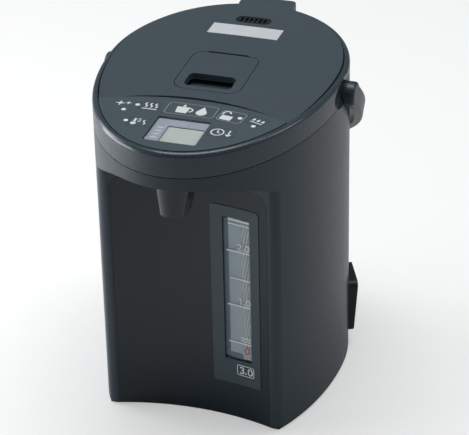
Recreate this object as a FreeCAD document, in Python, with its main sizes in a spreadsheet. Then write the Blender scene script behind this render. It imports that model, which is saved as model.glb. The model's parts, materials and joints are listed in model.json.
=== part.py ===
import FreeCAD, Part
import math
import os
import re
from types import SimpleNamespace

V = FreeCAD.Vector
doc = FreeCAD.newDocument("thermo_pot")

# Driving dimensions in millimetres and degrees. Heights are above the resting surface.
# Depths are measured from the widest line of the casing, which lies at mid_y.
SIZES = {
    "mid_y": 12.6,
    # plan of the casing: two half ellipses that meet on the widest line
    "half_width": 100.0,
    "front_stretch": 62.0,
    "rear_stretch": 17.0,
    "lip_stretch": 7.7,
    "wall": 2.5,
    # heights of the casing
    "sleeve_low": 3.0,
    "seam_height": 260.0,
    "seam_gap": 0.3,
    "collar_rise": 21.0,
    "collar_round": 3.5,
    # the recess under the beak
    "recess_depth": 10.7,
    "recess_radius": 225.8,
    "beak_under": 11.0,
    "beak_flat": 12.0,
    "beak_slope": 24.8,
    "beak_bend": 60.0,
    "lip_round": 8.0,
    # front panel set between the lips
    "panel_edge": 2.18,
    "panel_drop": 27.0,
    "panel_corner": 12.0,
    "hairline": 0.2,
    # water gauge
    "gauge_edge": 8.0,
    "gauge_width": 43.0,
    "gauge_drop": 17.0,
    "gauge_tall": 169.0,
    "gauge_proud": 0.5,
    "gauge_corner": 3.0,
    "window_side": 1.4,
    "window_width": 24.4,
    "window_drop": 9.5,
    "window_tall": 136.0,
    "window_corner": 2.0,
    "window_thick": 1.5,
    "window_sunk": 0.4,
    "scale_thick": 1.2,
    "scale_edge": 2.0,
    "tube_side": 5.6,
    "tube_behind": 19.1,
    "tube_radius": 5.5,
    "tube_bore": 4.2,
    "tube_under": 3.5,
    "tube_over": 8.5,
    "float_radius": 3.6,
    "float_lift": 4.5,
    "elbow_wall": 1.2,
    "elbow_side": 12.0,
    "elbow_back": 40.0,
    "elbow_drop": 14.2,
    # spout
    "spout_behind": 23.5,
    "spout_tall": 32.0,
    "spout_half_low": 11.0,
    "spout_half_top": 17.0,
    "spout_tail": 20.0,
    "spout_wall": 2.0,
    "nozzle_radius": 7.0,
    "nozzle_bore": 4.0,
    "nozzle_up": 2.0,
    # pipes
    "pipe_radius": 6.0,
    "pipe_bore": 4.0,
    "pipe_bend": 11.0,
    "pipe_x": 16.0,
    "pipe_behind": 21.7,
    "pipe_gap": 2.0,
    "pipe_rise": 13.8,
    # collar inside
    "tongue_long": 6.0,
    "tongue_wall": 2.2,
    "floor_rise": 3.0,
    "floor_thick": 3.0,
    "border": 4.5,
    "seat_drop": 2.6,
    "ledge": 3.0,
    "ledge_thick": 1.6,
    "panel_deep": 90.5,
    "split_radius": 191.6,
    "split_wall": 3.0,
    # lid
    "lid_gap": 1.0,
    "skirt_tall": 9.0,
    "crown_rise": 4.0,
    "crown_drop": 2.5,
    "crown_mid": 20.0,
    "lid_wall": 2.6,
    "deck_gap": 0.6,
    "deck_wall": 2.0,
    "inner_inset": 6.5,
    "plug_gap": 1.4,
    "plug_taper": 2.5,
    "plug_wall": 2.0,
    "gasket_lip": 0.5,
    "gasket_tall": 2.6,
    "gasket_width": 7.5,
    # lid hinge at the rear
    "hinge_behind": 2.0,
    "hinge_rise": 10.4,
    "hinge_pin": 1.5,
    "hinge_half": 22.0,
    "tab_half": 24.0,
    "tab_behind": 6.4,
    "tab_under": 5.4,
    "tab_over": 5.9,
    "tab_clear": 1.0,
    "tab_corner": 5.0,
    "lug_inner": 15.0,
    "lug_thick": 4.0,
    "lug_radius": 3.2,
    "lug_gap": 0.5,
    # lid release lever
    "lever_margin": 14.0,
    "lever_long": 65.5,
    "lever_half": 28.0,
    "lever_thick": 2.4,
    "lever_corner": 11.0,
    "lever_rim": 2.2,
    "lever_tall": 6.0,
    "lever_gap": 0.6,
    "lever_knuckle": 2.2,
    "lever_sink": 2.4,
    "lever_pin": 1.0,
    "lever_spring": 1.5,
    "bed_skin": 1.2,
    "bed_wall": 3.0,
    "scoop_margin": 5.5,
    "scoop_side": 8.0,
    "scoop_long": 20.5,
    "scoop_corner": 5.0,
    "scoop_deep": 7.4,
    "scoop_wall": 1.5,
    # latch
    "latch_half": 9.0,
    "latch_thick": 2.4,
    "latch_rise": 5.0,
    "latch_gap": 0.3,
    "latch_long": 29.5,
    "latch_room": 12.0,
    "latch_travel": 5.0,
    "spring_in_bolt": 6.0,
    "spring_radius": 1.3,
    "spring_wire": 0.5,
    # steam vent and tip-over valve
    "vent_before": 41.0,
    "vent_half": 15.0,
    "vent_deep": 13.0,
    "vent_thick": 2.4,
    "vent_sunk": 3.4,
    "valve_before": 22.0,
    "cage_radius": 9.0,
    "cage_tall": 18.6,
    "cage_wall": 1.6,
    "cage_hole": 3.0,
    "ball_radius": 5.0,
    "steam_radius": 3.6,
    "steam_bore": 2.4,
    "steam_bend": 6.0,
    # sticker on the lid
    "label_before": 23.5,
    "label_half": 30.5,
    "label_deep": 20.0,
    "label_thick": 0.3,
    # control panel
    "panel_proud": 0.4,
    "key_thick": 2.4,
    "key_stem": 2.5,
    "key_rest_gap": 0.6,
    "key_corner": 1.6,
    "board_drop": 11.0,
    "board_thick": 1.6,
    "board_inset": 14.0,
    "switch_side": 6.0,
    "switch_tall": 3.4,
    "led_radius": 1.4,
    "led_tall": 5.0,
    "lcd_half": 21.5,
    "lcd_behind": 37.5,
    "lcd_deep": 39.0,
    "lcd_glass": 1.4,
    "lcd_tall": 5.5,
    "post_radius": 3.0,
    "post_side": 60.0,
    "post_behind": 53.0,
    "post_front_side": 30.0,
    "post_front_behind": 22.0,
    # keys: across, behind the beak's tip, width, depth and turn
    "dispense_across": 0.0,
    "dispense_behind": 73.0,
    "dispense_width": 42.0,
    "dispense_deep": 20.0,
    "dispense_turn": 0.0,
    "unlock_across": 34.0,
    "unlock_behind": 70.5,
    "unlock_width": 22.0,
    "unlock_deep": 18.0,
    "unlock_turn": -9.0,
    "slow_pour_across": 56.0,
    "slow_pour_behind": 68.5,
    "slow_pour_width": 15.0,
    "slow_pour_deep": 12.0,
    "slow_pour_turn": -20.0,
    "reboil_across": -33.5,
    "reboil_behind": 70.5,
    "reboil_width": 16.0,
    "reboil_deep": 13.0,
    "reboil_turn": 0.0,
    "keep_warm_across": -33.5,
    "keep_warm_behind": 43.5,
    "keep_warm_width": 16.0,
    "keep_warm_deep": 13.0,
    "keep_warm_turn": 0.0,
    "timer_across": 34.5,
    "timer_behind": 43.5,
    "timer_width": 20.0,
    "timer_deep": 14.0,
    "timer_turn": 0.0,
    # lamps: across and behind the beak's tip
    "unlock_lamp_across": 41.0,
    "unlock_lamp_behind": 70.0,
    "slow_pour_lamp_across": 55.0,
    "slow_pour_lamp_behind": 60.0,
    "clean_lamp_across": -52.0,
    "clean_lamp_behind": 60.3,
    "reboil_lamp_across": -44.0,
    "reboil_lamp_behind": 70.7,
    "keep_warm_lamp_across": -44.0,
    "keep_warm_lamp_behind": 43.4,
    # carrying handle
    "pivot_reach": 9.0,
    "pivot_rise": 2.0,
    "handle_drop": 40.0,
    "arm_gap": 1.8,
    "arm_thick": 6.5,
    "arm_wide": 18.0,
    "arm_straight": 10.0,
    "arm_round": 3.0,
    "bar_thick": 9.0,
    "bar_clear": 2.5,
    "hub_radius": 10.0,
    "hub_sink": 6.0,
    "hub_gap": 0.4,
    "hub_round": 2.5,
    "pivot_radius": 3.5,
    "pivot_over": 4.2,
    "run_gap": 0.06,
    "boss_radius": 7.5,
    "boss_long": 10.0,
    "pin_in_boss": 6.0,
    "dish_depth": 3.2,
    "dish_long": 28.0,
    "dish_tall": 12.5,
    "dish_rise": 6.5,
    "dish_forward": 10.0,
    # vacuum vessel
    "vessel_inset": 14.0,
    "vacuum_gap": 7.0,
    "vessel_wall": 0.8,
    "vessel_floor": 62.0,
    "shoulder_tall": 12.0,
    "shoulder_run": 19.0,
    "mouth_tall": 5.8,
    "mouth_drop": 19.2,
    "flange_width": 10.0,
    "jacket_lift": 4.0,
    "neck_in": 1.6,
    "neck_wall": 3.0,
    "seal_thick": 1.2,
    "seal_width": 3.5,
    "heater_inner": 20.0,
    "heater_inset": 23.0,
    "heater_thick": 4.5,
    "sensor_radius": 8.0,
    "sensor_flange": 3.0,
    "sensor_tall": 9.0,
    "ring_inset": 17.0,
    "ring_outset": 4.0,
    "ring_thick": 3.2,
    "leg_radius": 5.0,
    "leg_inset": 2.39,
    # pump
    "pump_behind": 48.0,
    "pump_radius": 21.0,
    "pump_lift": 23.0,
    "pump_tall": 17.0,
    "pump_wall": 2.0,
    "pump_neck": 7.0,
    "impeller_radius": 14.5,
    "impeller_lift": 1.0,
    "impeller_tall": 8.0,
    "impeller_disc": 2.0,
    "impeller_hub": 4.0,
    "vane_thick": 1.4,
    "spindle_radius": 1.5,
    "intake_radius": 5.0,
    "hose_wall": 1.6,
    "motor_radius": 16.0,
    "motor_lift": 2.5,
    "motor_tall": 14.5,
    "motor_wall": 1.5,
    "rotor_radius": 11.0,
    "rotor_gap": 1.0,
    "magnet_radius": 13.0,
    "magnet_thick": 3.0,
    "magnet_gap": 0.6,
    # base
    "base_low": 1.5,
    "base_floor": 2.5,
    "base_rim": 11.0,
    "base_inset": 0.6,
    "base_wall": 2.5,
    "foot_radius": 9.0,
    "foot_side": 42.0,
    "foot_front_in": 37.7,
    "foot_rear_in": 49.0,
    "screw_radius": 1.75,
    "screw_head": 3.6,
    "screw_head_tall": 2.0,
    "screw_long": 14.0,
    "screw_clear": 0.2,
    "board_half": 36.0,
    "board_before": 51.0,
    "board_deep": 50.0,
    "standoff": 12.0,
    "standoff_radius": 3.0,
    "cup_wall": 2.0,
    "cup_tall": 8.0,
    # power inlet
    "inlet_turn": 28.0,
    "inlet_half": 20.0,
    "inlet_lift": 1.0,
    "inlet_tall": 50.0,
    "inlet_proud": 7.0,
    "inlet_inside": 16.0,
    "inlet_corner": 6.0,
    "inlet_slope": 4.5,
    "inlet_gap": 0.3,
    "socket_half": 16.0,
    "socket_lift": 12.0,
    "socket_tall": 26.0,
    "socket_deep": 10.0,
    "socket_corner": 4.0,
    "contact_radius": 1.8,
    "contact_spread": 8.0,
    "contact_long": 7.0,
    "contact_root": 8.0,
    "keeper_thick": 1.5,
    "keeper_half": 9.0,
    "keeper_tall": 4.0,
    "keeper_gap": 5.0,
}

# Sizes and places that follow from the driving ones.
DERIVED = {
    "front_reach": "half_width + front_stretch",
    "rear_reach": "half_width + rear_stretch",
    "lip_reach": "half_width + lip_stretch",
    "sleeve_top": "seam_height - seam_gap",
    "collar_low": "seam_height + seam_gap",
    "collar_top": "seam_height + collar_rise",
    "beak_height": "seam_height - beak_under",
    "panel_half": "sqrt(recess_radius ^ 2 - (recess_radius - recess_depth) ^ 2) - panel_edge",
    "panel_top": "beak_height - panel_drop",
    "gauge_x": "panel_half - gauge_edge - gauge_width / 2",
    "gauge_high": "panel_top - gauge_drop",
    "gauge_low": "gauge_high - gauge_tall",
    "window_x": "gauge_x + window_side",
    "window_high": "gauge_high - window_drop",
    "window_low": "window_high - window_tall",
    "tube_x": "window_x + tube_side",
    "tube_reach": "lip_reach - tube_behind",
    "tube_low": "window_low - tube_under",
    "tube_high": "window_high + tube_over",
    "float_rest": "window_low + float_lift",
    "elbow_x": "tube_x - elbow_side",
    "elbow_reach": "tube_reach - elbow_back",
    "spout_reach": "front_reach - spout_behind",
    "spout_low": "beak_height - spout_tall",
    "nozzle_low": "spout_low + nozzle_up",
    "pipe_reach": "lip_reach - pipe_behind",
    "pipe_high": "beak_height + pipe_rise",
    "tongue_low": "seam_height - tongue_long",
    "floor_low": "seam_height + floor_rise",
    "floor_top": "floor_low + floor_thick",
    "panel_seat": "collar_top - seat_drop",
    "split_reach": "front_reach - panel_deep",
    "skirt_low": "collar_top - skirt_tall",
    "crown_top": "collar_top + crown_rise",
    "inner_low": "floor_top + deck_gap",
    "jacket_radius": "half_width - vessel_inset",
    "vessel_radius": "jacket_radius - vacuum_gap",
    "vessel_reach": "jacket_radius + pipe_radius + pipe_gap - pipe_reach",
    "jacket_low": "vessel_floor + jacket_lift",
    "mouth_top": "seam_height - mouth_drop",
    "mouth_radius": "vessel_radius - shoulder_run",
    "flange_radius": "mouth_radius + flange_width",
    "shoulder_high": "mouth_top - mouth_tall",
    "shoulder_low": "shoulder_high - shoulder_tall",
    "neck_bore": "flange_radius - neck_in",
    "neck_low": "mouth_top + seal_thick",
    "seal_inner": "flange_radius - seal_width",
    "plug_low": "mouth_top + gasket_tall",
    "plug_radius_top": "neck_bore - plug_gap",
    "plug_radius_low": "plug_radius_top - plug_taper",
    "gasket_radius": "plug_radius_low + gasket_lip",
    "heater_outer": "vessel_radius - heater_inset",
    "ring_outer": "vessel_radius + ring_outset",
    "ring_inner": "vessel_radius - ring_inset",
    "leg_spread": "(ring_outer - leg_inset) / sqrt(2)",
    "hinge_reach": "rear_reach + hinge_behind",
    "hinge_height": "floor_top + hinge_rise",
    "tab_reach": "hinge_reach + tab_behind",
    "tab_low": "hinge_height - tab_under",
    "tab_top": "hinge_height + tab_over",
    "lever_front": "split_reach - lever_margin",
    "lever_back": "lever_long - lever_front",
    "lever_low": "crown_top - lever_tall",
    "lever_axis": "lever_back - lever_knuckle",
    "lever_axis_height": "crown_top - lever_sink",
    "scoop_front": "lever_front - scoop_margin",
    "scoop_back": "scoop_front - scoop_long",
    "scoop_half": "lever_half - scoop_side",
    "latch_low": "floor_top + latch_rise",
    "latch_back": "split_reach - latch_long",
    "vent_reach": "rear_reach - vent_before",
    "valve_reach": "vent_reach - valve_before",
    "cage_top": "plug_low + cage_tall",
    "label_reach": "vent_reach - label_before",
    "panel_face": "collar_top + panel_proud",
    "board_low": "collar_top - board_drop",
    "lcd_reach": "front_reach - lcd_behind",
    "pivot_height": "seam_height + pivot_rise",
    "arm_inner": "half_width + arm_gap",
    "hub_inner": "half_width - hub_sink",
    "pivot_end": "arm_inner + pivot_over",
    "boss_inner": "hub_inner - boss_long",
    "pin_inner": "hub_inner - pin_in_boss",
    "dish_height": "pivot_height + dish_rise",
    "base_top": "base_low + base_floor",
    "pump_reach": "pipe_reach - pump_behind",
    "pump_low": "base_top + pump_lift",
    "impeller_low": "pump_low + pump_wall + impeller_lift",
    "motor_low": "base_top + motor_lift",
    "foot_x": "half_width - foot_side",
    "foot_front": "lip_reach - foot_front_in",
    "foot_rear": "rear_reach - foot_rear_in",
    "board_reach": "rear_reach - board_before",
    "inlet_low": "base_rim + inlet_lift",
    "inlet_high": "inlet_low + inlet_tall",
    "socket_low": "inlet_low + socket_lift",
    "socket_high": "socket_low + socket_tall",
}

KEYS = ["dispense", "unlock", "slow_pour", "reboil", "keep_warm", "timer"]
LAMPS = ["unlock_lamp", "slow_pour_lamp", "clean_lamp", "reboil_lamp", "keep_warm_lamp"]


def formula(text):
    """Turn the bare size names in a text into references to the sheet."""
    known = {**SIZES, **DERIVED}
    return re.sub(r"[a-z][a-z_]+", lambda word: "sizes." + word[0] if word[0] in known else word[0], text)


sheet = doc.addObject("Spreadsheet::Sheet", "sizes")
for row, (alias, value) in enumerate({**SIZES, **DERIVED}.items(), start=1):
    sheet.set(f"A{row}", alias)
    sheet.set(f"B{row}", f"={value}" if alias in DERIVED else str(value))
    sheet.setAlias(f"B{row}", alias)
doc.recompute()
s = SimpleNamespace(**{alias: float(sheet.get(alias)) for alias in {**SIZES, **DERIVED}})

subparts = []


def tie(item, fields):
    """Bind each property of an object to a formula of size names."""
    for field, text in fields.items():
        item.setExpression(field, formula(text))
    return item


def place(item, x="0", y="0", z="0", axis=None, angle=0.0):
    """Put an object at a place given from the casing's widest line, turned about an axis."""
    if axis is not None:
        item.Placement = FreeCAD.Placement(V(), FreeCAD.Rotation(axis, angle))
    return tie(item, {"Placement.Base.x": x, "Placement.Base.y": f"mid_y + ({y})", "Placement.Base.z": z})


ALONG = {"z": None, "x": (V(0, 1, 0), 90.0), "y": (V(1, 0, 0), -90.0)}


def cylinder(radius, height, x="0", y="0", z="0", along="z"):
    """Cylinder whose axis leaves its place along one of the axes."""
    item = doc.addObject("Part::Cylinder", "cylinder")
    tie(item, {"Radius": radius, "Height": height})
    turn = ALONG[along]
    return place(item, x, y, z) if turn is None else place(item, x, y, z, *turn)


def cone(low_radius, high_radius, height, x="0", y="0", z="0"):
    """Upright cone with its wide and narrow ends given from the bottom."""
    item = doc.addObject("Part::Cone", "cone")
    tie(item, {"Radius1": low_radius, "Radius2": high_radius, "Height": height})
    return place(item, x, y, z)


def box(length, width, height, x="0", y="0", z="0"):
    """Box by its lowest corner."""
    item = doc.addObject("Part::Box", "box")
    tie(item, {"Length": length, "Width": width, "Height": height})
    return place(item, x, y, z)


def sphere(radius, x="0", y="0", z="0"):
    """Ball about its centre."""
    item = doc.addObject("Part::Sphere", "ball")
    tie(item, {"Radius": radius})
    return place(item, x, y, z)


def fuse(*pieces):
    """Union of two or more objects."""
    item = doc.addObject("Part::MultiFuse", "union")
    item.Shapes = list(pieces)
    return item


def cut(base, *tools):
    """First object with the others taken away."""
    item = doc.addObject("Part::Cut", "cut")
    item.Base = base
    item.Tool = tools[0] if len(tools) == 1 else fuse(*tools)
    return item


def group(*pieces):
    """Separate solids that share one node."""
    item = doc.addObject("Part::Compound", "group")
    item.Links = list(pieces)
    return item


def feature(shape):
    """Object that holds a shape made from the sizes, carried to the widest line's place."""
    item = doc.addObject("Part::Feature", "shape")
    item.Shape = shape
    return place(item)


def subpart(label, item):
    """Register an object as a sub-part under its own name."""
    item.Label = label
    subparts.append(item)
    return item


def rounded_plate(length, width, height, corner, x, y, z, turn=0.0):
    """Plate with rounded upright edges, centred on its place and turned about the vertical."""
    body = doc.addObject("PartDesign::Body", "plate")
    block = body.newObject("PartDesign::AdditiveBox", "block")
    tie(block, {"Length": length, "Width": width, "Height": height})
    tie(block, {"Placement.Base.x": f"-({length}) / 2", "Placement.Base.y": f"-({width}) / 2"})
    rounding = body.newObject("PartDesign::Fillet", "corners")
    rounding.Base = (block, ["Edge1", "Edge3", "Edge5", "Edge7"])
    tie(rounding, {"Radius": corner})
    return place(body, x, y, z, V(0, 0, 1), turn)


# shapes of the casing's own oval, which is no primitive


def half_ellipse(half, reach, side):
    """Half of an ellipse across the widest line, bulging to the front (-1) or the rear (1)."""
    if reach >= half:
        curve = Part.Ellipse(V(0, side * reach, 0), V(half, 0, 0), V(0, 0, 0))
        return Part.ArcOfEllipse(curve, -math.pi / 2, math.pi / 2).toShape()
    curve = Part.Ellipse(V(half, 0, 0), V(0, side * reach, 0), V(0, 0, 0))
    return Part.ArcOfEllipse(curve, 0, math.pi).toShape()


def oval(inset, low, high):
    """Upright prism of the casing's plan, drawn in by an inset."""
    half = s.half_width - inset
    front = half_ellipse(half, s.front_reach - inset, -1)
    rear = half_ellipse(half, s.rear_reach - inset, 1)
    face = Part.Face(Part.Wire(Part.__sortEdges__([front, rear])))
    face.translate(V(0, 0, low))
    return face.extrude(V(0, 0, high - low))


def disc(radius, low, high, x=0.0, y=0.0):
    """Upright cylinder between two heights."""
    return Part.makeCylinder(radius, high - low, V(x, y, low))


def block(x_low, x_high, y_low, y_high, z_low, z_high):
    """Box between six limits."""
    return Part.makeBox(x_high - x_low, y_high - y_low, z_high - z_low, V(x_low, y_low, z_low))


def line(start, end):
    """Straight edge."""
    return Part.LineSegment(start, end).toShape()


SPLIT_Y = -s.split_reach - s.split_radius


def split_disc(grow, low, high):
    """Disc whose rim is the line between the control panel and the lid."""
    return disc(s.split_radius + grow, low, high, 0, SPLIT_Y)


RECESS_Y = -s.lip_reach + s.recess_depth - s.recess_radius


def recess_wall_y(x, grow=0.0):
    """Depth of the concave front at a distance across."""
    return RECESS_Y + math.sqrt((s.recess_radius + grow) ** 2 - x * x)


def recess_plan(grow, low, high):
    """Everything in front of the concave wall and its two lips."""
    far = s.half_width + 60
    ahead = -s.front_reach - 60
    lip = -s.lip_reach + grow
    radius = s.recess_radius + grow
    corner = math.sqrt(radius ** 2 - (lip - RECESS_Y) ** 2)
    corners = [V(-far, ahead, low), V(-far, lip, low), V(-corner, lip, low)]
    mirror = [V(-point.x, point.y, point.z) for point in corners]
    bow = Part.Arc(corners[2], V(0, RECESS_Y + radius, low), mirror[2]).toShape()
    edges = [line(corners[0], corners[1]), line(corners[1], corners[2]), bow]
    edges += [line(mirror[2], mirror[1]), line(mirror[1], mirror[0]), line(mirror[0], corners[0])]
    return Part.Face(Part.Wire(edges)).extrude(V(0, 0, high - low))


def under_beak(grow):
    """Side profile of the space under the beak, drawn across the casing."""
    slope = math.radians(s.beak_slope)
    far = s.half_width + 60
    flat = s.beak_height + grow
    bend = -s.front_reach + s.beak_flat
    tangent = s.beak_bend * math.tan(slope / 2)
    start = V(-far, bend - tangent, flat)
    end = V(-far, bend + tangent * math.cos(slope), flat - tangent * math.sin(slope))
    middle = V(-far, bend - tangent + s.beak_bend * math.sin(slope / 2),
               flat - s.beak_bend * (1 - math.cos(slope / 2)))
    run = s.front_reach - s.beak_flat
    rear = V(-far, 0, flat - run * math.tan(slope))
    ahead = -s.front_reach - 60
    floor = -20.0
    edges = [line(V(-far, ahead, flat), start), Part.Arc(start, middle, end).toShape(), line(end, rear)]
    edges += [line(rear, V(-far, 0, floor)), line(V(-far, 0, floor), V(-far, ahead, floor))]
    edges.append(line(V(-far, ahead, floor), V(-far, ahead, flat)))
    return Part.Face(Part.Wire(edges)).extrude(V(2 * far, 0, 0))


def recess(grow):
    """The hollow under the beak, in front of the concave panel."""
    return under_beak(grow / math.cos(math.radians(s.beak_slope))).common(recess_plan(grow, -20, s.sleeve_top))


def front_sheet(x_mid, width, low, high, corner, front, back):
    """Curved sheet along the concave front: a rounded rectangle between two depths behind its face."""
    plate = block(x_mid - width / 2, x_mid + width / 2, -s.front_reach, 0, low, high)
    if corner > 0:
        upright = [edge for edge in plate.Edges if abs(edge.BoundBox.YLength - s.front_reach) < 0.01]
        plate = plate.makeFillet(corner, upright)
    shell = disc(s.recess_radius + back, low - 1, high + 1, 0, RECESS_Y)
    return plate.common(shell.cut(disc(s.recess_radius + front, low - 2, high + 2, 0, RECESS_Y)))


def pivot_dish(side):
    """Dished hollow in the casing's side around a handle pivot."""
    ball = Part.makeSphere(1.0)
    depth = 3 * s.dish_depth
    matrix = FreeCAD.Matrix()
    grow = 1 / math.sqrt(1 - (2 / 3) ** 2)
    matrix.scale(V(depth, s.dish_long * grow, s.dish_tall * grow))
    shape = ball.transformGeometry(matrix)
    shape.translate(V(side * (s.half_width + depth - s.dish_depth), s.pivot_reach - s.dish_forward, s.dish_height))
    return shape


def hub_pocket(side):
    """Round pocket in the casing that a hub of the handle turns in."""
    start = V(side * (s.hub_inner - s.hub_gap), s.pivot_reach, s.pivot_height)
    return Part.makeCylinder(s.hub_radius + s.hub_gap, 40, start, V(side, 0, 0))


def pipe(points, bend, radius, bore):
    """Round pipe along straight runs joined by tangent arcs."""
    edges = []
    at = points[0]
    for before, corner, after in zip(points, points[1:], points[2:]):
        coming = (corner - before).normalize()
        going = (after - corner).normalize()
        turn = coming.getAngle(going)
        trim = bend * math.tan(turn / 2)
        start = corner - coming * trim
        end = corner + going * trim
        inward = (going - coming).normalize()
        middle = corner + inward * (bend / math.cos(turn / 2) - bend)
        edges += [line(at, start), Part.Arc(start, middle, end).toShape()]
        at = end
    edges.append(line(at, points[-1]))
    spine = Part.Wire(edges)
    direction = points[1] - points[0]
    outer = spine.makePipeShell([Part.Wire(Part.makeCircle(radius, points[0], direction))], True, False)
    inner = spine.makePipeShell([Part.Wire(Part.makeCircle(bore, points[0], direction))], True, False)
    return outer.cut(inner)


# casing

DISHES = [pivot_dish(-1), pivot_dish(1), hub_pocket(-1), hub_pocket(1)]


def build_outer_body():
    """Thin sleeve that wraps the pot and forms the beak's lower part."""
    outer = oval(0, s.sleeve_low, s.sleeve_top).cut(recess(0))
    lips = [edge for edge in outer.Edges
            if abs(edge.BoundBox.ZMin - s.sleeve_low) < 0.01 and edge.BoundBox.ZLength > 100
            and edge.BoundBox.XLength < 0.01 and abs(edge.BoundBox.YMin + s.lip_reach) < 0.01
            and edge.BoundBox.XMax ** 2 > (s.panel_half + 4) ** 2]
    outer = outer.makeFillet(min(s.lip_round, s.half_width / 4), lips)
    inner = oval(s.wall, s.sleeve_low - 1, s.sleeve_top + 1).cut(recess(s.wall))
    sleeve = outer.cut(inner)
    opening = block(-s.panel_half, s.panel_half, -s.front_reach, 0, 0, s.panel_top)
    upper = [edge for edge in opening.Edges
             if abs(edge.BoundBox.ZMin - s.panel_top) < 0.01 and edge.BoundBox.YLength > 1]
    opening = opening.makeFillet(s.panel_corner, upper)
    return sleeve.cut([opening, spout_hole(0.0)] + DISHES + [inlet_block(s.inlet_gap)])


def spout_section(height, half, tail, inset):
    """Rounded outline of the spout at one height."""
    across = half - inset
    front = -s.spout_reach - s.spout_half_low + inset
    back = -s.spout_reach + tail - inset
    side = [V(-across, back, height), V(-across, front + across, height)]
    nose = Part.Arc(side[1], V(0, front, height), V(across, front + across, height)).toShape()
    edges = [line(side[0], side[1]), nose, line(V(across, front + across, height), V(across, back, height))]
    edges.append(line(V(across, back, height), side[0]))
    return Part.Wire(edges)


def spout_solid(inset, low, high):
    """Tapered hood of the spout between two heights."""
    span = s.beak_height + s.wall - s.spout_low
    wires = []
    for height in (low, high):
        share = (height - s.spout_low) / span
        half = s.spout_half_low + (s.spout_half_top - s.spout_half_low) * share
        tail = s.spout_half_low + (s.spout_tail - s.spout_half_low) * share
        wires.append(spout_section(height, half, tail, inset))
    return Part.makeLoft(wires, True, True)


def spout_hole(gap):
    """Way through the beak's underside for the nozzle and its pipe."""
    return disc(s.nozzle_radius + s.spout_wall + gap, s.spout_low, s.beak_height + 8, 0, -s.spout_reach)


def build_spout_cover():
    """Hood around the nozzle, its top following the beak's sloping underside."""
    hood = spout_solid(0, s.spout_low, s.beak_height + s.wall)
    hollow = spout_solid(s.spout_wall, s.spout_low - 1, s.beak_height + s.wall)
    keep = oval(0, s.spout_low - 2, s.sleeve_top).common(recess(-0.05))
    return hood.cut(hollow).common(keep)


def build_spout_nozzle():
    """Nozzle with a collar that rests inside the beak."""
    mouth = disc(s.nozzle_radius, s.nozzle_low, s.beak_height + 6, 0, -s.spout_reach)
    rim = disc(s.nozzle_radius + s.spout_wall + 2, s.beak_height + 4, s.beak_height + 6, 0, -s.spout_reach)
    way = disc(s.nozzle_bore, s.nozzle_low - 1, s.beak_height + 2, 0, -s.spout_reach)
    socket = disc(s.pipe_radius, s.beak_height + 1, s.beak_height + 7, 0, -s.spout_reach)
    return mouth.fuse(rim).cut([way, socket])


def lid_region(inset, grow, low, high):
    """Part of the oval behind the split line."""
    return oval(inset, low, high).cut(split_disc(grow, low - 1, high + 1))


def panel_region(inset, grow, low, high):
    """Part of the oval in front of the split line."""
    return oval(inset, low, high).common(split_disc(grow, low - 1, high + 1))


def build_collar():
    """Shoulder ring with the lid's well, the neck and the seat of the control panel."""
    shell = oval(0, s.collar_low, s.collar_top)
    rim = [edge for edge in shell.Edges if edge.BoundBox.ZMin > s.collar_top - 0.01]
    shell = shell.makeFillet(s.collar_round, rim)
    tongue_inset = s.wall + s.seam_gap
    inside = tongue_inset + s.tongue_wall
    shell = shell.fuse(oval(tongue_inset, s.tongue_low, s.collar_low + 2))
    neck = disc(s.neck_bore + s.neck_wall, s.neck_low, s.floor_top, 0, s.vessel_reach)
    bosses = []
    for side in (-1, 1):
        start = V(side * s.boss_inner, s.pivot_reach, s.pivot_height)
        length = s.half_width - inside + 1 - s.boss_inner
        bosses.append(Part.makeCylinder(s.boss_radius, length, start, V(side, 0, 0)))
    rear_hollow = lid_region(inside, s.split_wall, s.tongue_low - 2, s.floor_low)
    front_hollow = panel_region(inside, -s.split_wall, s.tongue_low - 2, s.panel_seat - s.ledge_thick)
    shell = shell.cut([rear_hollow, front_hollow]).fuse([neck] + bosses)
    wall_foot = split_disc(s.split_wall, s.tongue_low - 3, s.floor_low)
    wall_foot = wall_foot.cut(split_disc(-s.split_wall, s.tongue_low - 4, s.floor_low + 1))
    wall_foot = wall_foot.common(oval(inside, s.tongue_low - 3, s.floor_low))
    well = lid_region(s.border, 0, s.floor_top, s.collar_top + 2)
    through = panel_region(s.border + s.ledge, -s.split_wall, s.panel_seat - 3, s.panel_seat + 1)
    seat = panel_region(s.border, 0, s.panel_seat, s.collar_top + 2)
    bore = disc(s.neck_bore, s.neck_low - 1, s.floor_top + 1, 0, s.vessel_reach)
    pocket = block(-s.tab_half - s.tab_clear, s.tab_half + s.tab_clear,
                   s.rear_reach - 2 * s.border, s.rear_reach + 10, s.floor_top, s.collar_top + 5)
    shell = shell.cut([wall_foot, well, through, seat, bore, pocket] + DISHES)
    lugs = []
    for side in (-1, 1):
        x_low = s.lug_inner if side > 0 else -s.lug_inner - s.lug_thick
        stem = block(x_low, x_low + s.lug_thick, s.hinge_reach - s.lug_radius, s.hinge_reach + s.lug_radius,
                     s.floor_top - 4, s.hinge_height)
        foot = block(x_low, x_low + s.lug_thick, s.rear_reach - 3, s.hinge_reach + s.lug_radius,
                     s.floor_top - 4, s.floor_top)
        head = Part.makeCylinder(s.lug_radius, s.lug_thick, V(x_low, s.hinge_reach, s.hinge_height), V(1, 0, 0))
        lugs += [stem, foot, head]
    pin = Part.makeCylinder(s.hinge_pin, 2 * s.hinge_half, V(-s.hinge_half, s.hinge_reach, s.hinge_height), V(1, 0, 0))
    bores = []
    for side in (-1, 1):
        start = V(side * s.pin_inner, s.pivot_reach, s.pivot_height)
        bores.append(Part.makeCylinder(s.pivot_radius, 30, start, V(side, 0, 0)))
    return shell.fuse(lugs).cut([pin] + bores)


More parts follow.
